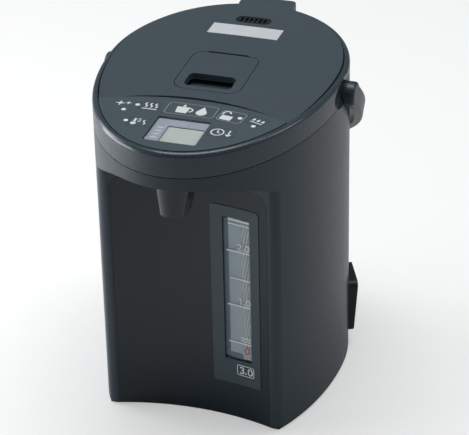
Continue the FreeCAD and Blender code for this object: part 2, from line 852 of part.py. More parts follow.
def build_front_panel():
    """Concave panel between the lips with the gauge's opening."""
    width = 2 * (s.panel_half - s.hairline)
    sheet_shape = front_sheet(0, width, s.sleeve_low - 20, s.panel_top - s.hairline, s.panel_corner, 0, s.wall)
    sheet_shape = sheet_shape.common(block(-s.half_width, s.half_width, -s.front_reach, 0, s.sleeve_low, s.panel_top))
    return sheet_shape.cut(gauge_plate(s.hairline, -5, 10))


def gauge_plate(grow, front, back):
    """Outline of the gauge's frame along the concave front."""
    return front_sheet(s.gauge_x, s.gauge_width + 2 * grow, s.gauge_low - grow, s.gauge_high + grow,
                       s.gauge_corner + grow, front, back)


def window_sheet(grow, front, back):
    """Outline of the gauge's window along the concave front."""
    return front_sheet(s.window_x, s.window_width + 2 * grow, s.window_low - grow, s.window_high + grow,
                       s.window_corner + grow, front, back)


# lid


def crown(drop):
    """Shallow dome that shapes the lid's top, lowered by a distance."""
    spread = 3.0
    tall = s.crown_drop / (1 - math.sqrt(1 - 1 / spread ** 2))
    matrix = FreeCAD.Matrix()
    matrix.scale(V(spread * (s.half_width - s.border), spread * (s.split_reach + s.crown_mid), tall))
    dome = Part.makeSphere(1.0).transformGeometry(matrix)
    dome.translate(V(0, s.crown_mid, s.crown_top - tall - drop))
    return dome


def lever_outline(grow, low, high):
    """Rounded rectangle of the release lever between two heights."""
    plate = block(-s.lever_half - grow, s.lever_half + grow, -s.lever_front - grow, s.lever_back + grow, low, high)
    upright = [edge for edge in plate.Edges if edge.BoundBox.ZLength > 0.5]
    return plate.makeFillet(s.lever_corner + grow, upright)


def rounded_block(x_half, y_low, y_high, z_low, z_high, corner):
    """Box across the middle plane with rounded upright edges."""
    plate = block(-x_half, x_half, y_low, y_high, z_low, z_high)
    upright = [edge for edge in plate.Edges
               if edge.BoundBox.ZLength > 0.5 * (z_high - z_low) and edge.BoundBox.XLength < 0.01
               and edge.BoundBox.YLength < 0.01]
    return plate.makeFillet(corner, upright)


def lever_bounds(grow, low, high):
    """Room of the lever: its pad in front of the pin and its narrower knuckle around the pin."""
    pad = lever_outline(grow, low, high).common(
        block(-s.half_width, s.half_width, -s.front_reach, s.lever_axis + grow, low, high))
    half = s.lever_half - s.lever_corner + grow
    return pad.fuse(block(-half, half, s.lever_axis - 1, s.lever_back + grow, low, high))


def vent_outline(grow, low, high):
    """Rounded outline of the steam vent."""
    half_deep = s.vent_deep / 2 + grow
    return rounded_block(s.vent_half + grow, s.vent_reach - half_deep, s.vent_reach + half_deep,
                         low, high, half_deep * 0.8)


LEVER_FLOOR = s.latch_low + s.latch_thick + s.latch_gap + s.bed_skin


def latch_way(gap):
    """Channel that the latch bolt slides in, with room for its spring."""
    return block(-s.latch_half - gap, s.latch_half + gap, -s.split_reach - 5, -s.latch_back + s.latch_room,
                 s.latch_low - gap, s.latch_low + s.latch_thick + gap)


def build_lid_cover():
    """Domed outer cover of the lid with its hinge tab, lever bed and vent pocket."""
    inset = s.border + s.lid_gap
    outer = lid_region(inset, s.lid_gap, s.skirt_low, s.crown_top + 5).common(crown(0))
    hollow = lid_region(inset + s.lid_wall, s.lid_gap + s.lid_wall, s.skirt_low - 1, s.crown_top).common(
        crown(s.lid_wall))
    tab = rounded_block(s.tab_half, s.rear_reach - 2 * s.border - 1.5, s.tab_reach, s.tab_low, s.tab_top, s.tab_corner)
    shell = outer.cut(hollow)
    bed_low = s.latch_low - s.latch_gap - 1.4
    bed = lever_outline(s.lever_gap + s.bed_wall, bed_low, s.crown_top).common(crown(0))
    vent_bed = vent_outline(s.bed_wall, s.crown_top - s.vent_sunk - 2.2, s.crown_top).common(crown(0))
    shell = shell.fuse([tab, bed, vent_bed])
    lever_room = lever_bounds(s.lever_gap, LEVER_FLOOR, s.crown_top + 1)
    vent_room = vent_outline(s.hairline, s.crown_top - s.vent_sunk, s.crown_top + 1)
    duct = disc(s.steam_radius + 0.3, s.crown_top - 12, s.crown_top, 0, s.vent_reach)
    slots = []
    for side in (-1, 1):
        x_low = (s.lug_inner if side > 0 else -s.lug_inner - s.lug_thick) - s.lug_gap
        slots.append(block(x_low, x_low + s.lug_thick + 2 * s.lug_gap, s.hinge_reach - s.lug_radius - s.lug_gap,
                           s.tab_reach + 5, s.tab_low - 5, s.hinge_height + s.lug_radius + s.lug_gap))
    axle = Part.makeCylinder(s.hinge_pin + s.run_gap, 2 * s.hinge_half + 0.4,
                             V(-s.hinge_half - 0.2, s.hinge_reach, s.hinge_height), V(1, 0, 0))
    lever_axle = Part.makeCylinder(s.lever_pin, 2 * s.lever_half + 6,
                                   V(-s.lever_half - 3, s.lever_axis, s.lever_axis_height), V(1, 0, 0))
    tools = [lever_room, vent_room, duct, axle, lever_axle, latch_way(s.latch_gap)] + slots
    return shell.cut(tools)


def build_lid_lever():
    """Release lever: a flush pad with a finger scoop, a turned-down rim and a round knuckle on its pin."""
    low, high = s.lever_low, s.crown_top + 1
    pad = lever_outline(0, low, high).cut(
        lever_outline(-s.lever_rim, low - 1, high).common(crown(s.lever_thick))).common(crown(0))
    tub_low = s.crown_top - s.scoop_deep
    tub = rounded_block(s.scoop_half + s.scoop_wall, -s.scoop_front - s.scoop_wall, -s.scoop_back + s.scoop_wall,
                        tub_low - s.scoop_wall, high, s.scoop_corner + s.scoop_wall).common(crown(0))
    scoop = rounded_block(s.scoop_half, -s.scoop_front, -s.scoop_back, tub_low, high, s.scoop_corner)
    bottom = [edge for edge in scoop.Edges if edge.BoundBox.ZMax < tub_low + 0.01]
    scoop = scoop.makeFillet(min(2.5, s.scoop_deep / 3), bottom)
    pad = pad.fuse(tub).cut(scoop)
    pad = pad.common(block(-s.half_width, s.half_width, -s.front_reach, s.lever_axis - s.lever_gap / 2, low, high))
    half = s.lever_half - s.lever_corner
    knuckle = Part.makeCylinder(s.lever_knuckle, 2 * half, V(-half, s.lever_axis, s.lever_axis_height), V(1, 0, 0))
    spring_room = block(-8, 8, s.lever_axis - 4, s.lever_back + 5, low - 5, s.lever_axis_height + s.lever_spring + 0.2)
    bore = Part.makeCylinder(s.lever_pin + s.run_gap, 2 * s.lever_half,
                             V(-s.lever_half, s.lever_axis, s.lever_axis_height), V(1, 0, 0))
    return pad.fuse(knuckle.common(crown(0))).cut([bore, spring_room])


def build_lid_inner():
    """Inner lid: a deck under the cover and a cup that reaches into the vessel's mouth."""
    deck_top = s.skirt_low - 0.2
    deck = lid_region(s.border + s.inner_inset, s.inner_inset, s.inner_low, deck_top)
    deck = deck.cut(lid_region(s.border + s.inner_inset + s.deck_wall, s.inner_inset + s.deck_wall,
                               s.inner_low + s.deck_wall, deck_top + 1))
    height = s.inner_low + 0.5 - s.plug_low
    outer = Part.makeCone(s.plug_radius_low, s.plug_radius_top, height, V(0, s.vessel_reach, s.plug_low))
    inner = Part.makeCone(s.plug_radius_low - s.plug_wall, s.plug_radius_top - s.plug_wall, height,
                          V(0, s.vessel_reach, s.plug_low + s.plug_wall))
    way = disc(s.cage_hole, s.plug_low - 1, s.plug_low + s.plug_wall + 2, 0, s.valve_reach)
    room = disc(s.plug_radius_top - s.plug_wall, s.inner_low - 1, deck_top + 1, 0, s.vessel_reach)
    return deck.cut(room).fuse(outer.cut(inner)).cut([way, latch_way(s.latch_gap)])


def build_handle():
    """Carrying bail in its own plane, then tilted down behind the pot."""
    tilt = math.radians(s.handle_drop)
    lift = s.arm_wide / 2 * math.sin(tilt)
    reach = (s.rear_reach + lift + s.bar_clear - s.pivot_reach) / math.cos(tilt)
    low = -s.arm_wide / 2

    def bow(half, end):
        """U-shaped outline: straight arms, then half an ellipse."""
        depth = end - s.arm_straight
        start = V(-half, 0, low)
        left = V(-half, s.arm_straight, low)
        right = V(half, s.arm_straight, low)
        if depth >= half:
            curve = Part.Ellipse(V(0, end, low), V(half, s.arm_straight, low), V(0, s.arm_straight, low))
            arc = Part.ArcOfEllipse(curve, -math.pi / 2, math.pi / 2).toShape()
        else:
            curve = Part.Ellipse(V(half, s.arm_straight, low), V(0, end, low), V(0, s.arm_straight, low))
            arc = Part.ArcOfEllipse(curve, 0, math.pi).toShape()
        close = line(V(half, 0, low), start)
        edges = [line(start, left), arc, line(right, V(half, 0, low)), close]
        return Part.Face(Part.Wire(Part.__sortEdges__(edges))).extrude(V(0, 0, s.arm_wide))

    outer = bow(s.arm_inner + s.arm_thick, reach + s.bar_thick)
    rims = [edge for edge in outer.Edges if abs(edge.BoundBox.ZLength) < 0.01 and edge.BoundBox.YMax > 1]
    outer = outer.makeFillet(min(s.arm_round, s.arm_thick / 2.1), rims)
    bail = outer.cut(bow(s.arm_inner, reach))
    for side in (-1, 1):
        hub = Part.makeCylinder(s.hub_radius, s.arm_inner + s.arm_thick - s.hub_inner,
                                V(side * s.hub_inner, 0, 0), V(side, 0, 0))
        rim = [edge for edge in hub.Edges if abs(edge.BoundBox.XMin) > s.hub_inner + 1
               and edge.BoundBox.XLength < 0.01]
        bail = bail.fuse(hub.makeFillet(min(s.hub_round, s.arm_thick / 2.5), rim))
    for side in (-1, 1):
        length = s.pivot_end + 0.3 - s.hub_inner + 1
        bail = bail.cut(Part.makeCylinder(s.pivot_radius + s.run_gap, length,
                                          V(side * (s.hub_inner - 1), 0, 0), V(side, 0, 0)))
    bail.rotate(V(0, 0, 0), V(1, 0, 0), -s.handle_drop)
    bail.translate(V(0, s.pivot_reach, s.pivot_height))
    return bail.removeSplitter()


# power inlet, set square to the wall at its own angle


def inlet_place(shape):
    """Carry a shape from the inlet's own frame to the casing: X points out of the wall."""
    turn = math.radians(s.inlet_turn)
    outward = math.atan2(s.half_width * math.sin(turn), s.rear_reach * math.cos(turn))
    shape.rotate(V(0, 0, 0), V(0, 0, 1), math.degrees(outward))
    shape.translate(V(s.half_width * math.cos(turn), s.rear_reach * math.sin(turn), 0))
    return shape


def inlet_block(grow):
    """Outer block of the inlet housing."""
    body = block(-s.inlet_inside, s.inlet_proud + (30 if grow else 0), -s.inlet_half - grow, s.inlet_half + grow,
                 s.inlet_low - grow, s.inlet_high + grow)
    along = [edge for edge in body.Edges if edge.BoundBox.XLength > 5]
    return inlet_place(body.makeFillet(s.inlet_corner + grow, along))


def build_inlet():
    """Housing of the magnetic power inlet with its socket."""
    socket = block(s.inlet_proud - s.socket_deep, s.inlet_proud + 1, -s.socket_half, s.socket_half,
                   s.socket_low, s.socket_high)
    along = [edge for edge in socket.Edges if edge.BoundBox.XLength > 5]
    socket = inlet_place(socket.makeFillet(s.socket_corner, along))
    tall = s.inlet_high - s.inlet_low
    slant = Part.makeBox(20, 4 * s.inlet_half, tall + 10, V(0, -2 * s.inlet_half, 0))
    slant.rotate(V(0, 0, 0), V(0, 1, 0), s.inlet_slope)
    slant.translate(V(s.inlet_proud - tall * math.tan(math.radians(s.inlet_slope)), 0, s.inlet_low - 1))
    lower = inlet_place(slant)
    shells = inlet_block(0).cut([socket, lower])
    bores = [contact(side) for side in (-1, 1)]
    plates = [keeper(side) for side in (-1, 1)]
    return shells.cut(bores + plates)


def contact(side):
    """One contact pin that stands in the socket."""
    long = s.contact_long + s.contact_root
    start = V(s.inlet_proud - s.socket_deep - s.contact_root, side * s.contact_spread, (s.socket_low + s.socket_high) / 2)
    return inlet_place(Part.makeCylinder(s.contact_radius, long, start, V(1, 0, 0)))


def keeper(side):
    """Steel plate that the plug's magnet holds on to, above or below the contacts."""
    middle = (s.socket_low + s.socket_high) / 2
    low = middle + s.keeper_gap if side > 0 else middle - s.keeper_gap - s.keeper_tall
    floor = s.inlet_proud - s.socket_deep
    return inlet_place(block(floor - s.keeper_thick, floor + 1, -s.keeper_half, s.keeper_half,
                             low, low + s.keeper_tall))


# assembly

subpart("outer_body", feature(build_outer_body()))
subpart("front_panel", feature(build_front_panel()))
subpart("gauge_bezel", feature(gauge_plate(0, -s.gauge_proud, s.wall).cut(window_sheet(0, -5, 10))))
subpart("gauge_window", feature(window_sheet(-0.05, s.window_sunk - s.gauge_proud,
                                             s.window_sunk - s.gauge_proud + s.window_thick)))
subpart("spout_cover", feature(build_spout_cover()))
subpart("spout_nozzle", feature(build_spout_nozzle()))
subpart("shoulder_collar", feature(build_collar()))

scale_back = "-tube_reach + tube_radius + 0.4"
subpart("gauge_scale", box("window_width + 2 * scale_edge", "scale_thick", "window_tall + 2 * scale_edge",
                           "window_x - window_width / 2 - scale_edge", scale_back, "window_low - scale_edge"))
tube_y = "-tube_reach"
subpart("gauge_tube", cut(cylinder("tube_radius", "tube_high - tube_low", "tube_x", tube_y, "tube_low"),
                          cylinder("tube_bore", "tube_high - tube_low + 2", "tube_x", tube_y, "tube_low - 1")))
subpart("gauge_float", sphere("float_radius", "tube_x", tube_y, "float_rest"))
subpart("gauge_cap", fuse(cylinder("tube_radius + 1.5", "4", "tube_x", tube_y, "tube_high"),
                          cylinder("tube_bore - 0.1", "3", "tube_x", tube_y, "tube_high - 3"),
                          box("8", "tube_radius + 6", "3", "tube_x - 4", "-tube_reach", "tube_high + 1")))

elbow_z = s.vessel_floor - s.vessel_wall - s.elbow_drop
elbow = pipe([V(s.elbow_x, -s.elbow_reach, s.vessel_floor - s.vessel_wall), V(s.elbow_x, -s.elbow_reach, elbow_z),
              V(s.tube_x, -s.tube_reach, elbow_z), V(s.tube_x, -s.tube_reach, s.tube_low)],
             s.tube_radius + s.elbow_wall, s.tube_radius, s.tube_bore)
subpart("gauge_elbow", feature(elbow))

pump_floor = s.pump_low + s.pump_tall / 2
outlet = pipe([V(-s.pipe_x, -s.pump_reach - s.pump_radius - 1, pump_floor), V(-s.pipe_x, -s.pipe_reach, pump_floor),
               V(-s.pipe_x, -s.pipe_reach, s.pipe_high), V(0, -s.spout_reach, s.pipe_high),
               V(0, -s.spout_reach, s.beak_height + 2)],
              min(s.pipe_bend, s.pipe_high - s.beak_height - 7), s.pipe_radius, s.pipe_bore)
subpart("outlet_pipe", feature(outlet))

# control panel and its keys
def on_panel(name, length, width, low, height, grow="0"):
    """Rounded plate at a key's own place and turn on the control panel."""
    return rounded_plate(f"{length} + 2 * {grow}", f"{width} + 2 * {grow}", height, "key_corner",
                         f"{name}_across", f"{name}_behind - front_reach", low, SIZES[f"{name}_turn"])


through = ("panel_face - 10", "20")
panel_openings = []
switches = []
lamp_items = [cylinder("led_radius", "led_tall", f"{name}_across", f"{name}_behind - front_reach",
                       "panel_face - led_tall") for name in LAMPS]
lamp_way = cylinder("led_radius + hairline", "20", "unlock_lamp_across", "unlock_lamp_behind - front_reach",
                    "panel_face - 10")
stem_low = "board_low + board_thick + switch_tall + key_rest_gap"
key_items = {}
for name in KEYS:
    cap = on_panel(name, f"{name}_width", f"{name}_deep", "panel_face - key_thick", "key_thick")
    stem = cylinder("key_stem", f"panel_face - key_thick / 2 - ({stem_low})", f"{name}_across",
                    f"{name}_behind - front_reach", stem_low)
    key_items[name] = cut(fuse(cap, stem), lamp_way) if name == "unlock" else fuse(cap, stem)
    panel_openings.append(on_panel(name, f"{name}_width", f"{name}_deep", *through, "hairline"))
    switches.append(box("switch_side", "switch_side", "switch_tall", f"{name}_across - switch_side / 2",
                        f"{name}_behind - front_reach - switch_side / 2", "board_low + board_thick"))
panel_openings.append(rounded_plate("2 * (lcd_half + hairline)", "lcd_deep + 2 * hairline", "20", "key_corner",
                                    "0", "-lcd_reach", "panel_face - 10"))
panel_openings += [cylinder("led_radius + hairline / 2", "20", f"{name}_across", f"{name}_behind - front_reach",
                            "panel_face - 10") for name in LAMPS]
plate = feature(panel_region(s.border + s.tab_clear - s.hairline, -s.hairline / 2, s.panel_seat, s.panel_face))
posts = [cylinder("post_radius", "panel_seat - board_low - board_thick + 1", x, f"{y} - front_reach",
                  "board_low + board_thick")
         for x, y in (("-post_side", "post_behind"), ("post_side", "post_behind"),
                      ("-post_front_side", "post_front_behind"), ("post_front_side", "post_front_behind"))]
subpart("control_panel", cut(fuse(plate, *posts), *panel_openings))
for name, item in key_items.items():
    subpart(f"{name}_key", item)
subpart("led_lenses", group(*lamp_items))
subpart("lcd_window", rounded_plate("2 * lcd_half", "lcd_deep", "lcd_glass", "key_corner", "0", "-lcd_reach",
                                    "panel_face - lcd_glass"))
subpart("lcd_module", rounded_plate("2 * lcd_half - 2", "lcd_deep - 2", "lcd_tall", "key_corner", "0", "-lcd_reach",
                                    "board_low + board_thick"))
subpart("control_board", feature(panel_region(s.board_inset, -s.board_inset / 2, s.board_low,
                                              s.board_low + s.board_thick)))
subpart("tact_switches", group(*switches))

# lid
subpart("lid_cover", feature(build_lid_cover()))
subpart("lid_inner", feature(build_lid_inner()))
gasket = cut(cylinder("gasket_radius", "plug_low - mouth_top - 0.3", "0", "vessel_reach", "mouth_top + 0.3"),
             cylinder("gasket_radius - gasket_width", "20", "0", "vessel_reach", "mouth_top - 5"))
subpart("lid_gasket", gasket)
grille = feature(vent_outline(0, s.crown_top - s.vent_sunk, s.crown_top - s.vent_sunk + s.vent_thick))
slits = [box("1.8", "vent_deep - 5", "10", f"{x} - 0.9", "vent_reach - vent_deep / 2 + 2.5", "crown_top - 8")
         for x in (-10, -6, -2, 2, 6, 10)]
subpart("steam_grille", cut(grille, *slits))
steam = pipe([V(0, s.valve_reach, s.cage_top), V(0, s.valve_reach, s.cage_top + 9.5),
              V(0, s.vent_reach, s.crown_top - 10.5), V(0, s.vent_reach, s.crown_top - s.vent_sunk)],
             min(s.steam_bend, 6.0), s.steam_radius, s.steam_bore)
subpart("steam_pipe", feature(steam))
cage_low = "plug_low + plug_wall"
cage = cut(cylinder("cage_radius", f"cage_top - ({cage_low})", "0", "valve_reach", cage_low),
           cylinder("cage_radius - cage_wall", f"cage_top - ({cage_low}) - 2 * cage_wall", "0", "valve_reach",
                    f"{cage_low} + cage_wall"),
           cylinder("cage_hole", "cage_tall + 10", "0", "valve_reach", f"{cage_low} - 5"))
subpart("valve_cage", cage)
subpart("valve_ball", sphere("ball_radius", "0", "valve_reach", 
                              f"{cage_low} + cage_wall + sqrt(ball_radius ^ 2 - cage_hole ^ 2) + 0.05"))
subpart("lid_lever", feature(build_lid_lever()))
pin_y = "lever_axis"
subpart("lever_pin", cylinder("lever_pin", "2 * lever_half + 6", "-lever_half - 3", pin_y, "lever_axis_height", "x"))
subpart("lever_spring", cut(cylinder("lever_spring", "12", "-6", pin_y, "lever_axis_height", "x"),
                            cylinder("lever_pin + 0.1", "20", "-10", pin_y, "lever_axis_height", "x")))
latch_front = "split_reach - lid_gap - 0.4"
bolt = box("2 * latch_half", f"{latch_front} - latch_back", "latch_thick", "-latch_half", f"-({latch_front})",
           "latch_low")
spring_slot = box("2 * spring_radius + 0.6", "latch_travel + spring_in_bolt + 1", "10", "-spring_radius - 0.3",
                  "-latch_back - latch_travel - spring_in_bolt", "latch_low - 5")
subpart("lid_latch", cut(bolt, spring_slot))
spring_z = "latch_low + latch_thick / 2"
spring_front = "-latch_back - spring_in_bolt + 0.5"
subpart("latch_spring", cut(cylinder("spring_radius", "spring_in_bolt - 0.5 + latch_room", "0", spring_front,
                                     spring_z, "y"),
                            cylinder("spring_radius - spring_wire", "60", "0", "-latch_back - 20", spring_z, "y")))
subpart("hinge_pin", cylinder("hinge_pin", "2 * hinge_half", "-hinge_half", "hinge_reach", "hinge_height", "x"))
sticker = crown(-s.label_thick).cut(crown(0)).common(
    block(-s.label_half, s.label_half, s.label_reach - s.label_deep / 2, s.label_reach + s.label_deep / 2,
          s.crown_top - 10, s.crown_top + 10))
subpart("caution_label", feature(sticker))

# handle
subpart("handle_bail", feature(build_handle()))
pins = [cylinder("pivot_radius", "pivot_end - pin_inner", x, "pivot_reach", "pivot_height", "x")
        for x in ("pin_inner", "-pivot_end")]
subpart("handle_pins", group(*pins))

# vacuum vessel
axis_y = "vessel_reach"
liner_out = fuse(cylinder("vessel_radius + vessel_wall", "shoulder_low - vessel_floor + vessel_wall", "0", axis_y,
                          "vessel_floor - vessel_wall"),
                 cone("vessel_radius + vessel_wall", "mouth_radius + vessel_wall", "shoulder_high - shoulder_low",
                      "0", axis_y, "shoulder_low"),
                 cylinder("mouth_radius + vessel_wall", "mouth_top - shoulder_high", "0", axis_y, "shoulder_high"),
                 cylinder("flange_radius", "vessel_wall", "0", axis_y, "mouth_top - vessel_wall"))
liner_in = fuse(cylinder("vessel_radius", "shoulder_low - vessel_floor", "0", axis_y, "vessel_floor"),
                cone("vessel_radius", "mouth_radius", "shoulder_high - shoulder_low", "0", axis_y, "shoulder_low"),
                cylinder("mouth_radius", "mouth_top - shoulder_high + 2", "0", axis_y, "shoulder_high"),
                cylinder("intake_radius - hose_wall", "10", "0", "-pump_reach", "vessel_floor - 5"),
                cylinder("tube_bore", "10", "elbow_x", "-elbow_reach", "vessel_floor - 5"))
subpart("vessel_liner", cut(liner_out, liner_in))
jacket_top = "mouth_top - vessel_wall"
jacket_out = fuse(cylinder("jacket_radius", "shoulder_low - jacket_low", "0", axis_y, "jacket_low"),
                  cone("jacket_radius", "mouth_radius + 6", f"{jacket_top} - shoulder_low", "0", axis_y,
                       "shoulder_low"))
jacket_in = fuse(cylinder("jacket_radius - vessel_wall", "shoulder_low - jacket_low - vessel_wall", "0", axis_y,
                          "jacket_low + vessel_wall"),
                 cone("jacket_radius - vessel_wall", "mouth_radius + 5", f"{jacket_top} - shoulder_low", "0", axis_y,
                      "shoulder_low"),
                 cylinder("vessel_radius + vessel_wall", "30", "0", axis_y, "jacket_low - 5"),
                 cylinder("mouth_radius + vessel_wall", "40", "0", axis_y, "shoulder_high"))
subpart("vessel_jacket", cut(jacket_out, jacket_in))
subpart("vessel_seal", cut(cylinder("flange_radius", "neck_low - mouth_top", "0", axis_y, "mouth_top"),
                           cylinder("seal_inner", "20", "0", axis_y, "mouth_top - 5")))
heater_low = "vessel_floor - vessel_wall - heater_thick"
subpart("heater_plate", cut(cylinder("heater_outer", "heater_thick", "0", axis_y, heater_low),
                            cylinder("heater_inner", "20", "0", axis_y, f"{heater_low} - 5"),
                            cylinder("intake_radius + 2", "20", "0", "-pump_reach", f"{heater_low} - 5"),
                            cylinder("tube_radius + 1", "20", "elbow_x", "-elbow_reach",
                                     f"{heater_low} - 5")))
subpart("thermistor", fuse(cylinder("sensor_radius", "sensor_tall", "0", axis_y,
                                    "vessel_floor - vessel_wall - sensor_tall"),
                           cylinder("sensor_radius + sensor_flange", "sensor_tall / 6", "0", axis_y,
                                    "vessel_floor - vessel_wall - sensor_tall")))
ring_low = "vessel_floor - vessel_wall - ring_thick"
ring = cut(cylinder("ring_outer", "ring_thick", "0", axis_y, ring_low),
           cylinder("ring_inner", "20", "0", axis_y, f"{ring_low} - 5"))
legs = []
screws = []
leg_bores = []
floor_top = "base_top"
leg_tall = f"{ring_low} - ({floor_top}) + 1"
for side_x in ("leg_spread", "-leg_spread"):
    for side_y in ("leg_spread", "-leg_spread"):
        at = (side_x, f"vessel_reach + {side_y}")
        legs.append(cylinder("leg_radius", leg_tall, *at, floor_top))
        leg_bores.append(cylinder("screw_radius", "screw_long", *at, floor_top))
        screws.append(fuse(cylinder("screw_head", "screw_head_tall", *at, "base_low"),
                           cylinder("screw_radius", "screw_long - 2", *at, "base_low + 1")))
elbow_way = cylinder("tube_radius + 1", "20", "elbow_x", "-elbow_reach", f"{ring_low} - 5")
subpart("vessel_support", cut(fuse(ring, *legs), elbow_way, *leg_bores))
subpart("base_screws", group(*screws))

# pump, driven through a magnetic coupling
pump_y = "-pump_reach"
shell_out = fuse(cylinder("pump_radius", "pump_tall", "0", pump_y, "pump_low"),
                 cylinder("intake_radius", "pump_neck + 1", "0", pump_y, "pump_low + pump_tall - 1"),
                 cylinder("pipe_radius", "pump_radius + 1", "-pipe_x", "-pump_reach - pump_radius - 1",
                          "pump_low + pump_tall / 2", "y"))
shell_in = fuse(cylinder("pump_radius - pump_wall", "pump_tall - 2 * pump_wall", "0", pump_y, "pump_low + pump_wall"),
                cylinder("intake_radius - hose_wall", "20", "0", pump_y, "pump_low + pump_tall - 5"),
                cylinder("pipe_bore", "pump_radius + 1", "-pipe_x", "-pump_reach - pump_radius - 2",
                         "pump_low + pump_tall / 2", "y"))
subpart("pump_housing", cut(shell_out, shell_in))
hub = fuse(cylinder("impeller_radius", "impeller_disc", "0", pump_y, "impeller_low"),
           cylinder("impeller_hub", "impeller_tall", "0", pump_y, "impeller_low"))
vanes = []
for turn in range(0, 360, 60):
    vane = doc.addObject("Part::Box", "vane")
    tie(vane, {"Length": "impeller_radius - 2.5", "Width": "vane_thick", "Height": "impeller_tall - 1.5"})
    vane.Placement = FreeCAD.Placement(V(), FreeCAD.Rotation(V(0, 0, 1), turn))
    tie(vane, {"Placement.Base.x": f"2 * cos({turn} deg)", "Placement.Base.y": f"mid_y - pump_reach + 2 * sin({turn} deg)",
               "Placement.Base.z": "impeller_low + 1"})
    vanes.append(vane)
impeller = cut(fuse(hub, *vanes), cylinder("spindle_radius + run_gap", "30", "0", pump_y, "impeller_low - 5"))
subpart("pump_impeller", impeller)
subpart("pump_spindle", cylinder("spindle_radius", "pump_tall - 2 * pump_wall - 2", "0", pump_y,
                                 "pump_low + pump_wall"))
hose_low = "pump_low + pump_tall + 1"
subpart("suction_tube", cut(cylinder("intake_radius + hose_wall", f"vessel_floor - vessel_wall - ({hose_low})", "0",
                                     pump_y, hose_low),
                            cylinder("intake_radius", "60", "0", pump_y, "pump_low")))
motor_top = "motor_low + motor_tall"
subpart("motor_can", cut(cylinder("motor_radius", "motor_tall", "0", pump_y, "motor_low"),
                         cylinder("motor_radius - motor_wall", "motor_tall - 2 * motor_wall", "0", pump_y,
                                  "motor_low + motor_wall"),
                         cylinder("spindle_radius + run_gap", "40", "0", pump_y, "motor_low + 3")))
subpart("motor_rotor", fuse(cylinder("rotor_radius", "motor_tall - 2 * (motor_wall + rotor_gap)", "0",
                                     pump_y, "motor_low + motor_wall + rotor_gap"),
                            cylinder("spindle_radius", "motor_tall - motor_wall - rotor_gap + magnet_gap + 1", "0",
                                     pump_y, "motor_low + motor_wall + rotor_gap"),
                            cylinder("magnet_radius", "magnet_thick", "0", pump_y, f"{motor_top} + magnet_gap")))

# base
def base_outline(inset, low, high):
    """Prism of the casing's plan below the beak."""
    return oval(inset, low, high).cut(recess_plan(inset, low - 1, high + 1))


skirt = base_outline(s.base_inset, s.base_low, s.sleeve_low)
spigot = base_outline(s.wall + s.seam_gap, s.base_low, s.base_rim)
pan = base_outline(s.wall + s.seam_gap + s.base_wall, s.base_low + s.base_floor, s.base_rim + 1)
base_pan = feature(skirt.fuse(spigot).cut(pan).cut(inlet_block(s.inlet_gap)))
board_posts = [cylinder("standoff_radius", "standoff + 0.5", x, y, f"{floor_top} - 0.5")
               for x in ("board_half - 4", "-board_half + 4")
               for y in ("board_reach - board_deep / 2 + 4", "board_reach + board_deep / 2 - 4")]
motor_cup = cut(cylinder("motor_radius + hairline + cup_wall", "cup_tall", "0", pump_y, f"{floor_top} - 0.5"),
                cylinder("motor_radius + hairline", "20", "0", pump_y, "motor_low"))
pump_stand = [box("4", "6", f"pump_low - ({floor_top}) + 0.5", f"{x} - 2", "-pump_reach - 3", f"{floor_top} - 0.5")
              for x in ("pump_radius - 1", "-pump_radius + 1")]
screw_ways = []
for side_x in ("leg_spread", "-leg_spread"):
    for side_y in ("leg_spread", "-leg_spread"):
        at = (side_x, f"vessel_reach + {side_y}")
        screw_ways += [cylinder("screw_head + screw_clear", "screw_head_tall", *at, "base_low"),
                       cylinder("screw_radius + screw_clear", "10", *at, "base_low")]
subpart("base_plate", cut(fuse(base_pan, motor_cup, *board_posts, *pump_stand), *screw_ways))
feet = [cylinder("foot_radius", "base_low", x, y, "0") for x, y in
        (("foot_x", "-foot_front"), ("-foot_x", "-foot_front"), ("foot_x", "foot_rear"), ("-foot_x", "foot_rear"))]
subpart("rubber_feet", group(*feet))
board_z = f"{floor_top} + standoff"
parts_on_board = [box("18", "14", "12", "-28", "board_reach - 18", f"{board_z} + 1.5"),
                  cylinder("6", "16", "8", "board_reach - 8", f"{board_z} + 1.5"),
                  box("12", "20", "9", "18", "board_reach - 6", f"{board_z} + 1.5"),
                  box("24", "8", "8", "-26", "board_reach + 8", f"{board_z} + 1.5")]
subpart("power_board", fuse(box("2 * board_half", "board_deep", "1.6", "-board_half",
                                "board_reach - board_deep / 2", board_z), *parts_on_board))
subpart("power_inlet", feature(build_inlet()))
subpart("inlet_contacts", feature(Part.makeCompound([contact(-1), contact(1)])))
floor_x = s.inlet_proud - s.socket_deep
slab = inlet_place(block(floor_x - 10, floor_x, -s.inlet_half, s.inlet_half, s.inlet_low, s.inlet_high))
subpart("inlet_keepers", feature(Part.makeCompound([keeper(side).common(slab) for side in (-1, 1)])))

doc.recompute()
faults = [item.Label for item in doc.Objects if {"Invalid", "Error"} & set(item.State)]
faults += [item.Label for item in subparts if item.Shape.isNull() or not item.Shape.isValid()]
if faults:
    raise RuntimeError("these objects failed: " + ", ".join(faults))
os.makedirs("parts", exist_ok=True)
for item in subparts:
    item.Shape.exportStep(os.path.join("parts", item.Label + ".step"))
    print(f"{item.Label}: {len(item.Shape.Solids)} solid, {item.Shape.Volume / 1000:.2f} cm3")
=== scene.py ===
"""Looks of an electric thermo pot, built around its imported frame."""

import json
import logging
import math
from collections.abc import Callable, Sequence
from dataclasses import dataclass, field
from enum import Enum

import bmesh
import bpy
from mathutils import Matrix, Vector
from mathutils.bvhtree import BVHTree

